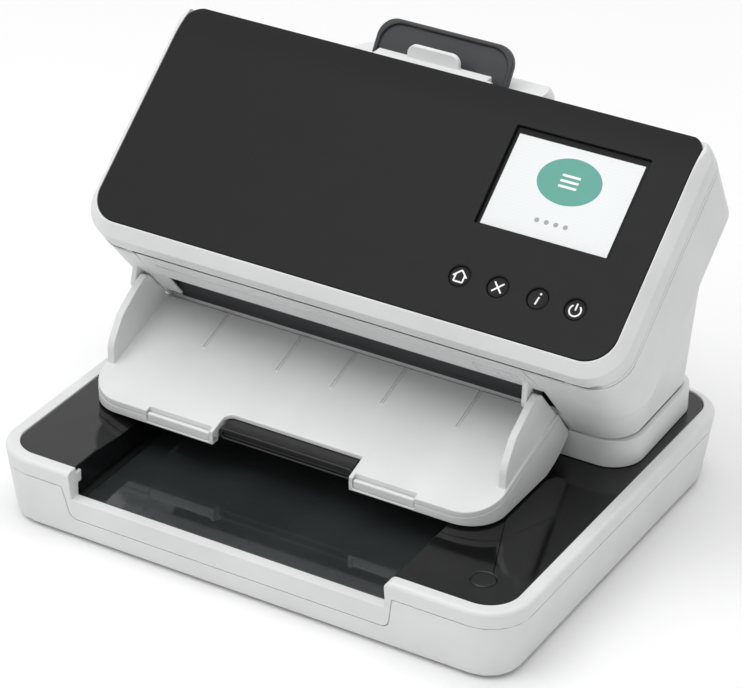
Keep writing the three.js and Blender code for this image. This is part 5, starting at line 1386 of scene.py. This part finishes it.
def panel_face():
    outline = raised(rounded(rectangle(
        -PANEL_HALF_WIDTH, PANEL_HALF_WIDTH, GAP, PANEL_END + GAP, PANEL_CORNER, PANEL_TOP_CORNER,
    ), 2 * ARC_STEPS), -OVERRUN, OVERRUN)
    face = cut(
        run(under_face(0, -GAP, PANEL_END, OVERRUN), -FAR, FAR),
        run(under_face(PANEL_THICK, -OVERRUN, PANEL_END + GAP, 2 * OVERRUN), -FAR, FAR),
    )
    display_hole = raised(rounded(rectangle(
        DISPLAY_LEFT, DISPLAY_RIGHT, DISPLAY_LOW, DISPLAY_HIGH, DISPLAY_CORNER,
    )), -OVERRUN, OVERRUN)
    holes = [
        post(x, BUTTON_LINE, BUTTON_RADIUS + GAP, -OVERRUN, OVERRUN, ROUND_STEPS) for x in BUTTON_X.values()
    ]
    dishes = [
        turned_round(x, BUTTON_LINE, [
            (BUTTON_RADIUS, -BUTTON_DISH_DEPTH), (BUTTON_DISH, 0), (BUTTON_DISH, OVERRUN),
        ])
        for x in BUTTON_X.values()
    ]
    left = BUTTON_X["home"] - BOARD_MARGIN + BOSS_RADIUS
    right = BUTTON_X["power"] + BOARD_MARGIN - BOSS_RADIUS
    rise = BOARD_MARGIN - BOSS_RADIUS
    bosses = [
        post(x, s, BOSS_RADIUS, -BOARD_DEPTH + GAP, -PANEL_THICK + GAP)
        for x in (left, right) for s in (BUTTON_LINE - rise, BUTTON_LINE + rise)
    ]
    return posed(join(cut(common(outline, face), display_hole, *holes, *dishes), *bosses))


def button_body(x):
    """Round key with a hollow top: a profile turned round its axis, on its flange and stem."""
    under = -PANEL_THICK - GAP
    shares = np.linspace(BUTTON_HOLLOW_SHARE, BUTTON_MIDDLE_SHARE, BUTTON_RINGS)
    top = -BUTTON_SUNK
    profile = [(BUTTON_RADIUS, under - GAP), (BUTTON_RADIUS, top - GAP)]
    profile += [(BUTTON_RADIUS * share, top - drop) for share, drop in BUTTON_SHOULDER]
    profile += [(BUTTON_RADIUS * share, top - BUTTON_HOLLOW * (1 - share ** 2)) for share in shares]
    flange = under - BUTTON_FLANGE_THICK
    return posed(join(
        turned_round(x, BUTTON_LINE, profile),
        post(x, BUTTON_LINE, BUTTON_RADIUS + BUTTON_FLANGE, flange, under, ROUND_STEPS),
        post(x, BUTTON_LINE, BUTTON_STEM, flange - BUTTON_STEM_LENGTH, under - GAP),
    ))


def sign_solid(paths, floor, high=MARK_HIGH):
    """Thin raised sign in the head frame, from outlines in (x, s)."""
    solids = [raised(path, floor, floor + high) for path in paths]
    return posed(join(solids[0], *solids[1:]) if len(solids) > 1 else solids[0])


# Strokes of the signs on the buttons, about the middle of each button and before MARK_SCALE
BUTTON_STROKES = {
    "home": (
        ((-2.6, -0.1), (0, 2.4)), ((0, 2.4), (2.6, -0.1)), ((-1.7, 0.7), (-1.7, -2.1)),
        ((1.7, 0.7), (1.7, -2.1)), ((-1.7, -2), (1.7, -2)),
    ),
    "cancel": (((-1.8, -1.8), (1.8, 1.8)), ((-1.8, 1.8), (1.8, -1.8))),
    "info": (((0.2, 0.8), (-0.3, -2.1)),),
    "power": (((0, 2.4), (0, -0.1)),),
}
INFO_DOT = (0.4, 2)
INFO_DOT_SHARE = 0.7
INFO_DOT_STEPS = 20
POWER_RING = (0, -0.2)
POWER_RING_RADIUS = 2.1
POWER_RING_FROM = 128
POWER_RING_TO = 412
POWER_RING_STEPS = 28


def button_sign(name, x):
    """Outlines of the sign on a button, about seven millimetres across."""
    def spot(point):
        return x + MARK_SCALE * point[0], BUTTON_LINE + MARK_SCALE * point[1]

    outlines = [stroke([spot(point) for point in line], MARK_LINE) for line in BUTTON_STROKES[name]]
    if name == "info":
        outlines.append(circle(*spot(INFO_DOT), INFO_DOT_SHARE * MARK_LINE, INFO_DOT_STEPS))
    if name == "power":
        radius = MARK_SCALE * POWER_RING_RADIUS
        ring = arc_path(*spot(POWER_RING), radius, POWER_RING_FROM, POWER_RING_TO, POWER_RING_STEPS)
        outlines.append(stroke(ring, MARK_LINE))
    return outlines


def screen_solid():
    return posed(raised(rounded(rectangle(
        DISPLAY_LEFT + GAP, DISPLAY_RIGHT - GAP, DISPLAY_LOW + GAP, DISPLAY_HIGH - GAP, DISPLAY_CORNER,
    )), -DISPLAY_SUNK - DISPLAY_GLASS, -DISPLAY_SUNK))


def ellipse(a, b, half_a, half_b, steps=96):
    return circle(0, 0, 1, steps) * np.array([half_a, half_b]) + np.array([a, b])


# Release lever, input tray and its extension


def lever_solid():
    low = LEVER_TOP - LEVER_THICK
    front = LEVER_Y - LEVER_PIVOT
    plate = run(rectangle(front, LEVER_BACK, low, LEVER_TOP), LEVER_X - LEVER_HALF, LEVER_X + LEVER_HALF)
    tab = deep(rounded(rectangle(
        LEVER_X - LEVER_TAB_HALF, LEVER_X + LEVER_TAB_HALF, low, LEVER_TAB_TOP, 0, LEVER_TAB_CORNER,
    )), LEVER_BACK - LEVER_THICK, LEVER_BACK)
    reach = LEVER_HALF + GAP + LEVER_LUG_WIDE
    return join(plate, tab, rod(LEVER_Y, LEVER_Z, LEVER_PIVOT, LEVER_X - reach, LEVER_X + reach))


TRAY_LEFT = EAR_LEFT + 2 * GAP
TRAY_RIGHT = EAR_RIGHT - 2 * GAP
TRAY_BACK_FACE = TRAY_FACE - TRAY_THICK
SLIDE_LOW = TRAY_BACK_FACE + 2 * GAP


def input_tray_solid():
    plate = block(TRAY_LEFT, TRAY_RIGHT, TRAY_PLATE_LOW, TRAY_PLATE_TOP, TRAY_BACK_FACE, TRAY_FACE)
    left = LOOP_X - POCKET_HALF
    right = LOOP_X + POCKET_HALF
    pocket_path = rounded([
        (POCKET_LOW, TRAY_BACK_FACE + GAP),
        (POCKET_TOP - POCKET_CORNER, -POCKET_BACK - GAP, POCKET_CORNER / 2),
        (POCKET_TOP, -POCKET_BACK + GAP, POCKET_CORNER / 2), (TRAY_PLATE_TOP - GAP, TRAY_FACE - 2 * GAP),
    ])
    pocket = common(
        run(pocket_path, left, right),
        raised(rounded(rectangle(left, right, TRAY_PLATE_LOW, POCKET_TOP, 0, POCKET_ROUND)), -FAR, FAR),
    )
    arms = [
        join(
            rod(0, 0, TRAY_ARM_ROUND, x0, x1),
            block(x0, x1, -TRAY_ARM_ROUND, TRAY_ARM_ROUND, 0, TRAY_BACK_FACE + GAP),
        )
        for x0, x1 in ((TRAY_LEFT, TRAY_LEFT + TRAY_ARM), (TRAY_RIGHT - TRAY_ARM, TRAY_RIGHT))
    ]
    stubs = [
        rod(0, 0, TRAY_STUB, x0, x1)
        for x0, x1 in ((PATH_LEFT, TRAY_LEFT + GAP), (TRAY_RIGHT - GAP, PATH_RIGHT))
    ]
    half = LOOP_HALF + GAP
    above = POCKET_TOP + OVERRUN
    slide = block(
        LOOP_X - half, LOOP_X + half, LOOP_LOW - OVERRUN, above, SLIDE_LOW, SLIDE_LOW + LOOP_THICK + 2 * GAP,
    )
    mouth = block(
        LOOP_X - half + LOOP_LIP, LOOP_X + half - LOOP_LIP, LOOP_LOW - OVERRUN, above,
        SLIDE_LOW, TRAY_FACE + OVERRUN,
    )
    return posed(cut(join(plate, pocket, *arms, *stubs), slide, mouth), TRAY_POSE)


def loop_solid():
    """The extension's plate, with a raised rim round the part that shows above the tray."""
    low = SLIDE_LOW + GAP
    left = LOOP_X - LOOP_HALF
    right = LOOP_X + LOOP_HALF
    plate = raised(
        rounded(rectangle(left, right, LOOP_LOW, LOOP_TOP, LOOP_LIP, LOOP_CORNER)), low, low + LOOP_THICK,
    )
    rim_start = TRAY_PLATE_TOP + LOOP_RIM / 2
    rim = cut(
        raised(
            rounded(rectangle(left, right, rim_start, LOOP_TOP, 0, LOOP_CORNER)),
            low, low + LOOP_THICK + LOOP_RIM_HIGH,
        ),
        raised(rounded(rectangle(
            left + LOOP_RIM, right - LOOP_RIM, LOOP_LOW - OVERRUN, LOOP_TOP - LOOP_RIM,
            0, LOOP_CORNER - LOOP_RIM,
        )), low - OVERRUN, low + OVERRUN),
    )
    return posed(join(plate, rim), TRAY_POSE)


# Output tray, its extension and end stops


def floor_z(y):
    return OUT_FLOOR_Z + (y - OUT_FLOOR_Y) * OUT_SLOPE


CHIN_LEAN = -math.tan(HEAD_TILT)
FRONT_RIM_Z = floor_z(OUT_FRONT)
STOP_TOP = FRONT_RIM_Z - STOP_DROP
STOP_PIVOT_Y = OUT_FRONT + STOP_THICK / 2
STOP_PIVOT_Z = STOP_TOP - STOP_THICK / 2


def chin_y(z):
    return CHIN_FLOOR_Y + (z - FOOT_TOP) * CHIN_LEAN - CHIN_CLEAR * 2


def tray_room():
    """Everything in front of the chin and above the sweep of the tray's lower back edge."""
    reach = OUT_TOP + OVERRUN
    foot_y = FOOT_FRONT - CHIN_CLEAR * 2
    front = run([
        (OUT_FRONT - OVERRUN, 0), (foot_y, 0), (foot_y, FOOT_TOP),
        (chin_y(FOOT_TOP), FOOT_TOP), (chin_y(reach), reach), (OUT_FRONT - OVERRUN, reach),
    ], -FAR, FAR)
    sweep = cut(
        block(-FAR, FAR, OUT_PIVOT_Y, FOOT_BACK, 0, OUT_PIVOT_Z),
        rod(OUT_PIVOT_Y, OUT_PIVOT_Z, OUT_SWEEP, -FAR, FAR, ROUND_STEPS),
    )
    return cut(front, sweep)


def out_plan(inset):
    return rounded(rectangle(
        OUT_LEFT + inset, OUT_RIGHT - inset, OUT_FRONT + inset, FOOT_BACK, OUT_CORNER - inset, 0,
    ), 2 * ARC_STEPS)


def slope_band(y0, y1, low, high, x0, x1):
    """A band parallel to the tray's floor, between two heights over it."""
    return run([
        (y0, floor_z(y0) + low), (y1, floor_z(y1) + low), (y1, floor_z(y1) + high), (y0, floor_z(y0) + high),
    ], x0, x1)


def flange(x0):
    """Side flange: from the tray's floor up to the pivot, and falling to the front in soft turns."""
    back = chin_y(OUT_FLOOR_Z) - GAP
    low = floor_z(FLANGE_FRONT) - OUT_FLOOR / 2
    r = OUT_PIVOT_ROUND
    outline = rounded([
        (FLANGE_FRONT, low), (back, OUT_FLOOR_Z - OUT_FLOOR), (back, OUT_FLOOR_Z),
        (OUT_PIVOT_Y + r * COS_HEAD, OUT_PIVOT_Z + r * SIN_HEAD), (OUT_PIVOT_Y, OUT_TOP, r / 2),
        (OUT_PIVOT_Y - 2 * r, OUT_PIVOT_Z, 3 * r),
        (FLANGE_FRONT + 2 * r, OUT_PIVOT_Z - 2 * r, 2 * r), (FLANGE_FRONT, OUT_PIVOT_Z - 5 * r, 3 * r),
    ])
    return run(outline, x0, x0 + FLANGE_THICK)


def output_tray_solid():
    reach = OUT_TOP + OVERRUN
    front = OUT_FRONT - OVERRUN
    above = slope_band(front, FOOT_BACK, 0, reach, -FAR, FAR)
    hollow = common(
        raised(out_plan(OUT_WALL), 0, reach), slope_band(front, FOOT_BACK, -reach, -OUT_FLOOR, -FAR, FAR),
    )
    groove = cut(
        slope_band(front, FOOT_BACK, -OUT_GROOVE_DROP - OUT_GROOVE, -OUT_GROOVE_DROP, -FAR, FAR),
        raised(out_plan(OUT_GROOVE), 0, reach),
    )
    body = cut(raised(out_plan(0), OUT_UNDERSIDE, reach), above, hollow, groove)
    grip_back = OUT_FRONT + GRIP_SUNK + GRIP_DEEP
    grip_room = raised(rounded([
        (GRIP_LEFT, front), (GRIP_RIGHT, front),
        (GRIP_RIGHT, grip_back), (GRIP_LEFT, grip_back, GRIP_SUNK),
    ]), 0, FRONT_RIM_Z + GRIP_SUNK)
    under = -OUT_FLOOR - GAP
    rail_low = under - GRIP_PLATE - 2 * GAP - GRIP_RAIL
    rails = [
        slope_band(OUT_FRONT + OUT_WALL, GRIP_PLATE_BACK, rail_low, under + 2 * GAP, x0, x1)
        for x0, x1 in ((GRIP_LEFT - GRIP_RAIL, GRIP_LEFT), (GRIP_RIGHT, GRIP_RIGHT + GRIP_RAIL))
    ]
    keeps = [
        slope_band(grip_back, GRIP_PLATE_BACK, rail_low, rail_low + GRIP_RAIL, x - GRIP_RAIL, x + GRIP_RAIL)
        for x in (GRIP_LEFT, GRIP_RIGHT)
    ]
    spans = STOPS.values()
    rooms = [
        block(
            x0 - GAP, x1 + GAP, front, OUT_FRONT + STOP_THICK + GAP, STOP_LOW - GAP, FRONT_RIM_Z + OVERRUN,
        )
        for x0, x1 in spans
    ]
    backs = [
        block(
            x0 - OUT_WALL, x1 + OUT_WALL, OUT_FRONT + STOP_THICK, OUT_FRONT + STOP_THICK + OUT_WALL,
            OUT_UNDERSIDE, FRONT_RIM_Z - GAP,
        )
        for x0, x1 in spans
    ]
    lips = [
        block(
            x0 - GAP, x1 + GAP, OUT_FRONT, OUT_FRONT + STOP_THICK + GAP,
            OUT_UNDERSIDE, OUT_UNDERSIDE + STOP_LIP_THICK,
        )
        for x0, x1 in spans
    ]
    pin_room = GAP + STOP_PIN_LONG + GAP
    bores = [
        rod(STOP_PIVOT_Y, STOP_PIVOT_Z, STOP_PIN + GAP, x0 - pin_room, x1 + pin_room) for x0, x1 in spans
    ]
    ribs = [
        slope_band(
            OUT_RIB_BACK - OUT_RIB_LONG, FOOT_FRONT, -OUT_RIB_HIGH, OUT_RIB_HIGH,
            x - OUT_RIB_WIDE / 2, x + OUT_RIB_WIDE / 2,
        )
        for x in OUT_RIBS
    ]
    solid = join(
        cut(body, grip_room), *rails, *keeps, *backs, flange(FLANGE_LEFT), flange(FLANGE_RIGHT), *ribs,
    )
    pin_holes = [
        rod(OUT_PIVOT_Y, OUT_PIVOT_Z, OUT_PIVOT_PIN + GAP, x0 - GAP, x0 + FLANGE_THICK - PIN_COVER)
        for x0 in (FLANGE_LEFT, FLANGE_RIGHT)
    ]
    bored = cut(join(cut(solid, *rooms), *lips), *bores, *pin_holes, grip_room)
    return common(bored, tray_room())


def grip_solid():
    """Black grip: two rounded steps, the lower one standing forward, on its sliding plate."""
    front = OUT_FRONT + GRIP_SUNK
    x0 = GRIP_LEFT + GAP
    x1 = GRIP_RIGHT - GAP
    top = floor_z(front) - GRIP_TOP_DROP
    grip = deep(
        rounded(rectangle(x0, x1, GRIP_BOTTOM, top, (top - GRIP_BOTTOM) / 2)), front, front + GRIP_DEEP - GAP,
    )
    hollow = deep(rounded(rectangle(
        x0 + GRIP_STEP, x1 - GRIP_STEP, GRIP_BOTTOM + GRIP_STEP / 2, top - GRIP_STEP, GRIP_STEP,
    )), front - OVERRUN, front + GRIP_STEP)
    plate = slope_band(
        front + GRIP_DEEP / 2, GRIP_PLATE_BACK, -OUT_FLOOR - GAP - GRIP_PLATE, -OUT_FLOOR - GAP,
        x0 + GRIP_RAIL, x1 - GRIP_RAIL,
    )
    return join(cut(grip, hollow), plate)


def stop_solid(x0, x1):
    flap = run(rounded([
        (OUT_FRONT + GAP, STOP_LOW), (OUT_FRONT + STOP_THICK, STOP_LOW),
        (OUT_FRONT + STOP_THICK, STOP_TOP, STOP_THICK / 2), (OUT_FRONT + GAP, STOP_TOP, STOP_THICK / 3),
    ]), x0, x1)
    pins = rod(STOP_PIVOT_Y, STOP_PIVOT_Z, STOP_PIN, x0 - STOP_PIN_LONG, x1 + STOP_PIN_LONG)
    return join(flap, pins)


# Pieces whose form in the frame is already right: its mesh is merged and its edges are rounded

INNER_PIECES = {
    "housing": {
        "white_plastic": ("base_tray",),
        "black_plastic": ("platen_frame", "lower_guide"),
        "scan_glass": ("platen_glass",),
        "steel": (
            "carriage_rod", "carriage_motor", "left_frame", "right_frame", "main_motor",
            "cover_pin_left", "cover_pin_right",
        ),
        "rubber": (
            "carriage_belt", "drive_belt", "pad_front_left", "pad_front_right", "pad_rear_left",
            "pad_rear_right",
        ),
        "charcoal_plastic": ("rear_image_sensor", "power_inlet", "data_socket", "speaker"),
        "circuit_board": ("main_board",),
    },
    "cover": {
        "black_plastic": ("cover_guide",),
        "charcoal_plastic": ("display_module", "front_image_sensor"),
        "circuit_board": ("button_board",),
    },
}
ROUND_PIECES = {
    "rubber": ("separation_roller", "pressure_roller", "feed_roller", "drive_roller", "exit_roller"),
    "steel": ("motor_shaft",),
    "charcoal_plastic": (
        "scan_carriage", "belt_idler_pulley", "belt_drive_pulley", "left_side_guide", "right_side_guide",
    ),
    "white_plastic": ("guide_pinion",),
}


def refined(node, slot, body):
    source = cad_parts[node]
    edge = bpy.context.scene.scanner_sizes.fine_round
    return piece(f"{node}_finished", source.data.copy(), slot, body, (node,), edge)


class SCANNER_OT_stage(bpy.types.Operator):
    """Adds the camera at the photograph's angle, the pale floor and the soft lights."""

    bl_idname = "scanner.stage"
    bl_label = "Stage"

    def execute(self, context):
        scene = context.scene
        scene.view_settings.view_transform = "Standard"
        right = np.array([math.cos(CAMERA_TURN), math.sin(CAMERA_TURN), 0])
        ahead = np.array([
            -math.sin(CAMERA_TURN) * math.cos(CAMERA_RISE), math.cos(CAMERA_TURN) * math.cos(CAMERA_RISE),
            -math.sin(CAMERA_RISE),
        ])
        up = np.cross(right, ahead)
        across = right * math.cos(CAMERA_ROLL) + up * math.sin(CAMERA_ROLL)
        upward = up * math.cos(CAMERA_ROLL) - right * math.sin(CAMERA_ROLL)
        camera = bpy.data.objects.new("camera", bpy.data.cameras.new("camera"))
        camera.data.sensor_width = SENSOR_WIDE
        camera.data.lens = CAMERA_LENS_PIXELS * SENSOR_WIDE / PHOTO_WIDE
        camera.data.clip_end = CAMERA_FAR
        placed(camera, across, upward, -ahead, np.array(CAMERA_PLACE) * MM)
        scene.camera = camera

        corners = rectangle(-FLOOR_HALF, FLOOR_HALF, -FLOOR_HALF, FLOOR_HALF)
        ground = bpy.data.meshes.new("floor")
        ground.from_pydata([(x, y, 0) for x, y, _ in corners], [], [(0, 1, 2, 3)])
        ground.materials.append(floor_finish())
        floor = bpy.data.objects.new("floor", ground)
        scene.collection.objects.link(floor)

        for name, light in LIGHTS.items():
            add_light(name, *light)
        scene.world = pale_world()
        return {"FINISHED"}


def placed(obj, across, upward, away, place):
    """Links an object at a place, with its three axes along the given directions."""
    pose = np.eye(4)
    pose[:3] = np.stack([across, upward, away, place], axis=1)
    obj.matrix_world = Matrix(pose.tolist())
    bpy.context.scene.collection.objects.link(obj)


def floor_finish():
    """Pale floor that keeps shadows, with a faint change of tone."""
    material, tree, shader, place = surface("pale_floor", roughness=0.8)
    toned(tree, shader, mapped(tree, noise(tree, place, size=700)), *FLOOR_TONES)
    shader.inputs["Specular IOR Level"].default_value = FLOOR_GLOSS
    return material


def pale_world():
    """Even light on the object, and white for what the camera and the reflections see."""
    world = bpy.data.worlds.new("pale_room")
    world.use_nodes = True
    tree = world.node_tree
    ground = tree.nodes["Background"]
    ground.inputs["Color"].default_value = (1, 1, 1, 1)
    rays = tree.nodes.new("ShaderNodeLightPath").outputs
    seen = rays["Is Camera Ray"]
    for kind in ("Is Glossy Ray", "Is Transmission Ray"):
        either = tree.nodes.new("ShaderNodeMath")
        either.operation = "MAXIMUM"
        tree.links.new(seen, either.inputs[0])
        tree.links.new(rays[kind], either.inputs[1])
        seen = either.outputs[0]
    level = added(tree, "ShaderNodeMapRange", seen, "Value", {"To Min": ROOM_LIGHT, "To Max": ROOM_WHITE})
    tree.links.new(level.outputs["Result"], ground.inputs["Strength"])
    return world


def add_light(name, place, target, size, power):
    lamp = bpy.data.lights.new(name, "AREA")
    lamp.size = size
    lamp.energy = power
    away = np.array(place, float) - np.array(target, float)
    away /= np.linalg.norm(away)
    side = np.cross([0, 0, 1], away)
    side /= np.linalg.norm(side)
    placed(bpy.data.objects.new(name, lamp), side, np.cross(away, side), away, place)


class SCANNER_OT_flatbed(bpy.types.Operator):
    """Builds the rim and the deck of the flatbed."""

    bl_idname = "scanner.flatbed"
    bl_label = "Flatbed shells"

    def execute(self, context):
        piece("rim_shell", rim_shell(), "white_plastic", "housing", ("base_frame",))
        piece("deck_shell", deck_shell(), "deck_plastic", "housing", ("deck",))
        return {"FINISHED"}


class SCANNER_OT_housing(bpy.types.Operator):
    """Builds the covers of the head and the foot from one outer form."""

    bl_idname = "scanner.housing"
    bl_label = "Head covers and foot"

    def execute(self, context):
        shell = housing_shell()
        middle = common(shell, middle_zone(-GAP / 2))
        left = join(side_cover(shell, LEFT), *left_side())
        right = side_cover(shell, RIGHT)
        piece("left_cover_shell", left, "white_plastic", "housing", ("left_side_cover",))
        piece("right_cover_shell", right, "white_plastic", "housing", ("right_side_cover",))
        piece("exit_lip_shell", exit_lip(middle), "white_plastic", "housing", ("exit_chin",), LIP_ROUND * MM)
        piece("rear_cover_shell", rear_shell(middle), "white_plastic", "housing", ("rear_cover",))
        piece("foot_shell", foot_shell(middle), "white_plastic", "housing", ("foot",))
        # The mouth ramp's charcoal is partly painted shade: it darkens the mouth where the shade falls.
        piece("mouth_ramp", mouth_ramp(), "charcoal_plastic", "housing")
        return {"FINISHED"}


class SCANNER_OT_front(bpy.types.Operator):
    """Builds the bezel, the front panel, the display and its sign."""

    bl_idname = "scanner.front"
    bl_label = "Bezel, panel and display"

    def execute(self, context):
        piece(
            "bezel_shell", bezel_shell(), "white_plastic", "cover", ("front_bezel",),
            BEZEL_ROUND * MM, FINE_SEGMENTS,
        )
        piece(
            "panel_face", panel_face(), "panel_plastic", "cover", ("front_panel",),
            PANEL_ROUND * MM, FINE_SEGMENTS,
        )
        glass = screen_solid()
        piece("screen_glass", glass, "screen_border", "cover", ("display_window",), SCREEN_ROUND * MM)
        # The lit area is inset from the glass most at the top and right, so the dark glass shows as a border
        # there.
        floor = LIT_THICK - DISPLAY_SUNK
        lit_area = [rectangle(LIT_LEFT, LIT_RIGHT, LIT_LOW, LIT_HIGH)]
        piece("lit_area", sign_solid(lit_area, -DISPLAY_SUNK, LIT_THICK), "screen", "cover", edge=0)
        disc = [ellipse(DISC_X, DISC_S, DISC_HALF_WIDE, DISC_HALF_HIGH)]
        piece("disc_sign", sign_solid(disc, floor), "disc_sign", "cover", edge=0)
        rows = [SHEET_LOW + k * SHEET_STEP for k in range(SHEET_LINES)]
        sheet = [stroke([(DISC_X - SHEET_HALF, s), (DISC_X + SHEET_HALF, s)], SHEET_LINE) for s in rows]
        piece("sheet_sign", sign_solid(sheet, floor + MARK_HIGH), "white_sign", "cover", edge=0)
        places = [STATUS_X + k * STATUS_STEP for k in range(STATUS_DOTS)]
        dots = [circle(x, STATUS_S, STATUS_RADIUS, SIGN_STEPS) for x in places]
        piece("dot_sign", sign_solid(dots, floor), "grey_sign", "cover", edge=0)
        return {"FINISHED"}


class SCANNER_OT_buttons(bpy.types.Operator):
    """Builds the four buttons with their signs."""

    bl_idname = "scanner.buttons"
    bl_label = "Buttons"

    def execute(self, context):
        floor = -BUTTON_SUNK - BUTTON_HOLLOW
        for name, x in BUTTON_X.items():
            body = f"{name}_button"
            piece(f"{name}_key", button_body(x), "panel_plastic", body, (body,), 0)
            sign = sign_solid(button_sign(name, x), floor - MARK_HIGH, BUTTON_HOLLOW)
            piece(f"{name}_sign", sign, "white_sign", body, edge=0)
        return {"FINISHED"}


class SCANNER_OT_output(bpy.types.Operator):
    """Builds the output tray, its grip and its end stops."""

    bl_idname = "scanner.output"
    bl_label = "Output tray"

    def execute(self, context):
        piece("output_tray_shell", output_tray_solid(), "white_plastic", "output_tray", ("output_tray",))
        piece(
            "grip", grip_solid(), "black_plastic", "output_extension", ("output_extension",),
            GRIP_ROUND * MM, FINE_SEGMENTS,
        )
        for side, span in STOPS.items():
            body = f"{side}_end_stop"
            piece(f"{side}_stop_flap", stop_solid(*span), "white_plastic", body, (body,), STOP_ROUND * MM)
        return {"FINISHED"}


class SCANNER_OT_input(bpy.types.Operator):
    """Builds the release lever, the input tray and its extension loop."""

    bl_idname = "scanner.input"
    bl_label = "Lever and input tray"

    def execute(self, context):
        piece("lever", lever_solid(), "white_plastic", "release_lever", ("release_lever",))
        piece("input_tray_shell", input_tray_solid(), "white_plastic", "input_tray", ("input_tray",))
        piece(
            "tray_loop", loop_solid(), "charcoal_plastic", "tray_extension", ("tray_extension",),
            LOOP_ROUND * MM, FINE_SEGMENTS,
        )
        return {"FINISHED"}


class SCANNER_OT_inside(bpy.types.Operator):
    """Refines the pieces inside and under the scanner from the frame's own forms."""

    bl_idname = "scanner.inside"
    bl_label = "Inner pieces"

    def execute(self, context):
        for body, slots in INNER_PIECES.items():
            for slot, nodes in slots.items():
                for node in nodes:
                    refined(node, slot, body)
        for slot, nodes in ROUND_PIECES.items():
            for node in nodes:
                refined(node, slot, node)
        return {"FINISHED"}


class SCANNER_PT_panel(bpy.types.Panel):
    """Lists the steps that build the scanner."""

    bl_idname = "SCANNER_PT_panel"
    bl_label = "Document scanner"
    bl_space_type = "VIEW_3D"
    bl_region_type = "UI"
    bl_category = "Scanner"

    def draw(self, context):
        for operator in OPERATORS:
            self.layout.operator(operator.bl_idname)
        for group in (context.scene.scanner_sizes, context.scene.scanner_colours):
            for name in group.__annotations__:
                self.layout.prop(group, name)


OPERATORS = (
    SCANNER_OT_stage, SCANNER_OT_flatbed, SCANNER_OT_housing, SCANNER_OT_front, SCANNER_OT_buttons,
    SCANNER_OT_output, SCANNER_OT_input, SCANNER_OT_inside,
)
CLASSES = (ScannerSizes, ScannerColours, *OPERATORS, SCANNER_PT_panel)


def register():
    for each in CLASSES:
        bpy.utils.register_class(each)
    bpy.types.Scene.scanner_sizes = PointerProperty(type=ScannerSizes)
    bpy.types.Scene.scanner_colours = PointerProperty(type=ScannerColours)


def unregister():
    del bpy.types.Scene.scanner_colours
    del bpy.types.Scene.scanner_sizes
    for each in reversed(CLASSES):
        bpy.utils.unregister_class(each)


def main():
    register()
    bpy.ops.scanner.stage()
    bpy.ops.scanner.flatbed()
    bpy.ops.scanner.housing()
    bpy.ops.scanner.front()
    bpy.ops.scanner.buttons()
    bpy.ops.scanner.output()
    bpy.ops.scanner.input()
    bpy.ops.scanner.inside()
    for mesh in [mesh for mesh in bpy.data.meshes if not mesh.users]:
        bpy.data.meshes.remove(mesh)


if __name__ == "__main__":
    main()
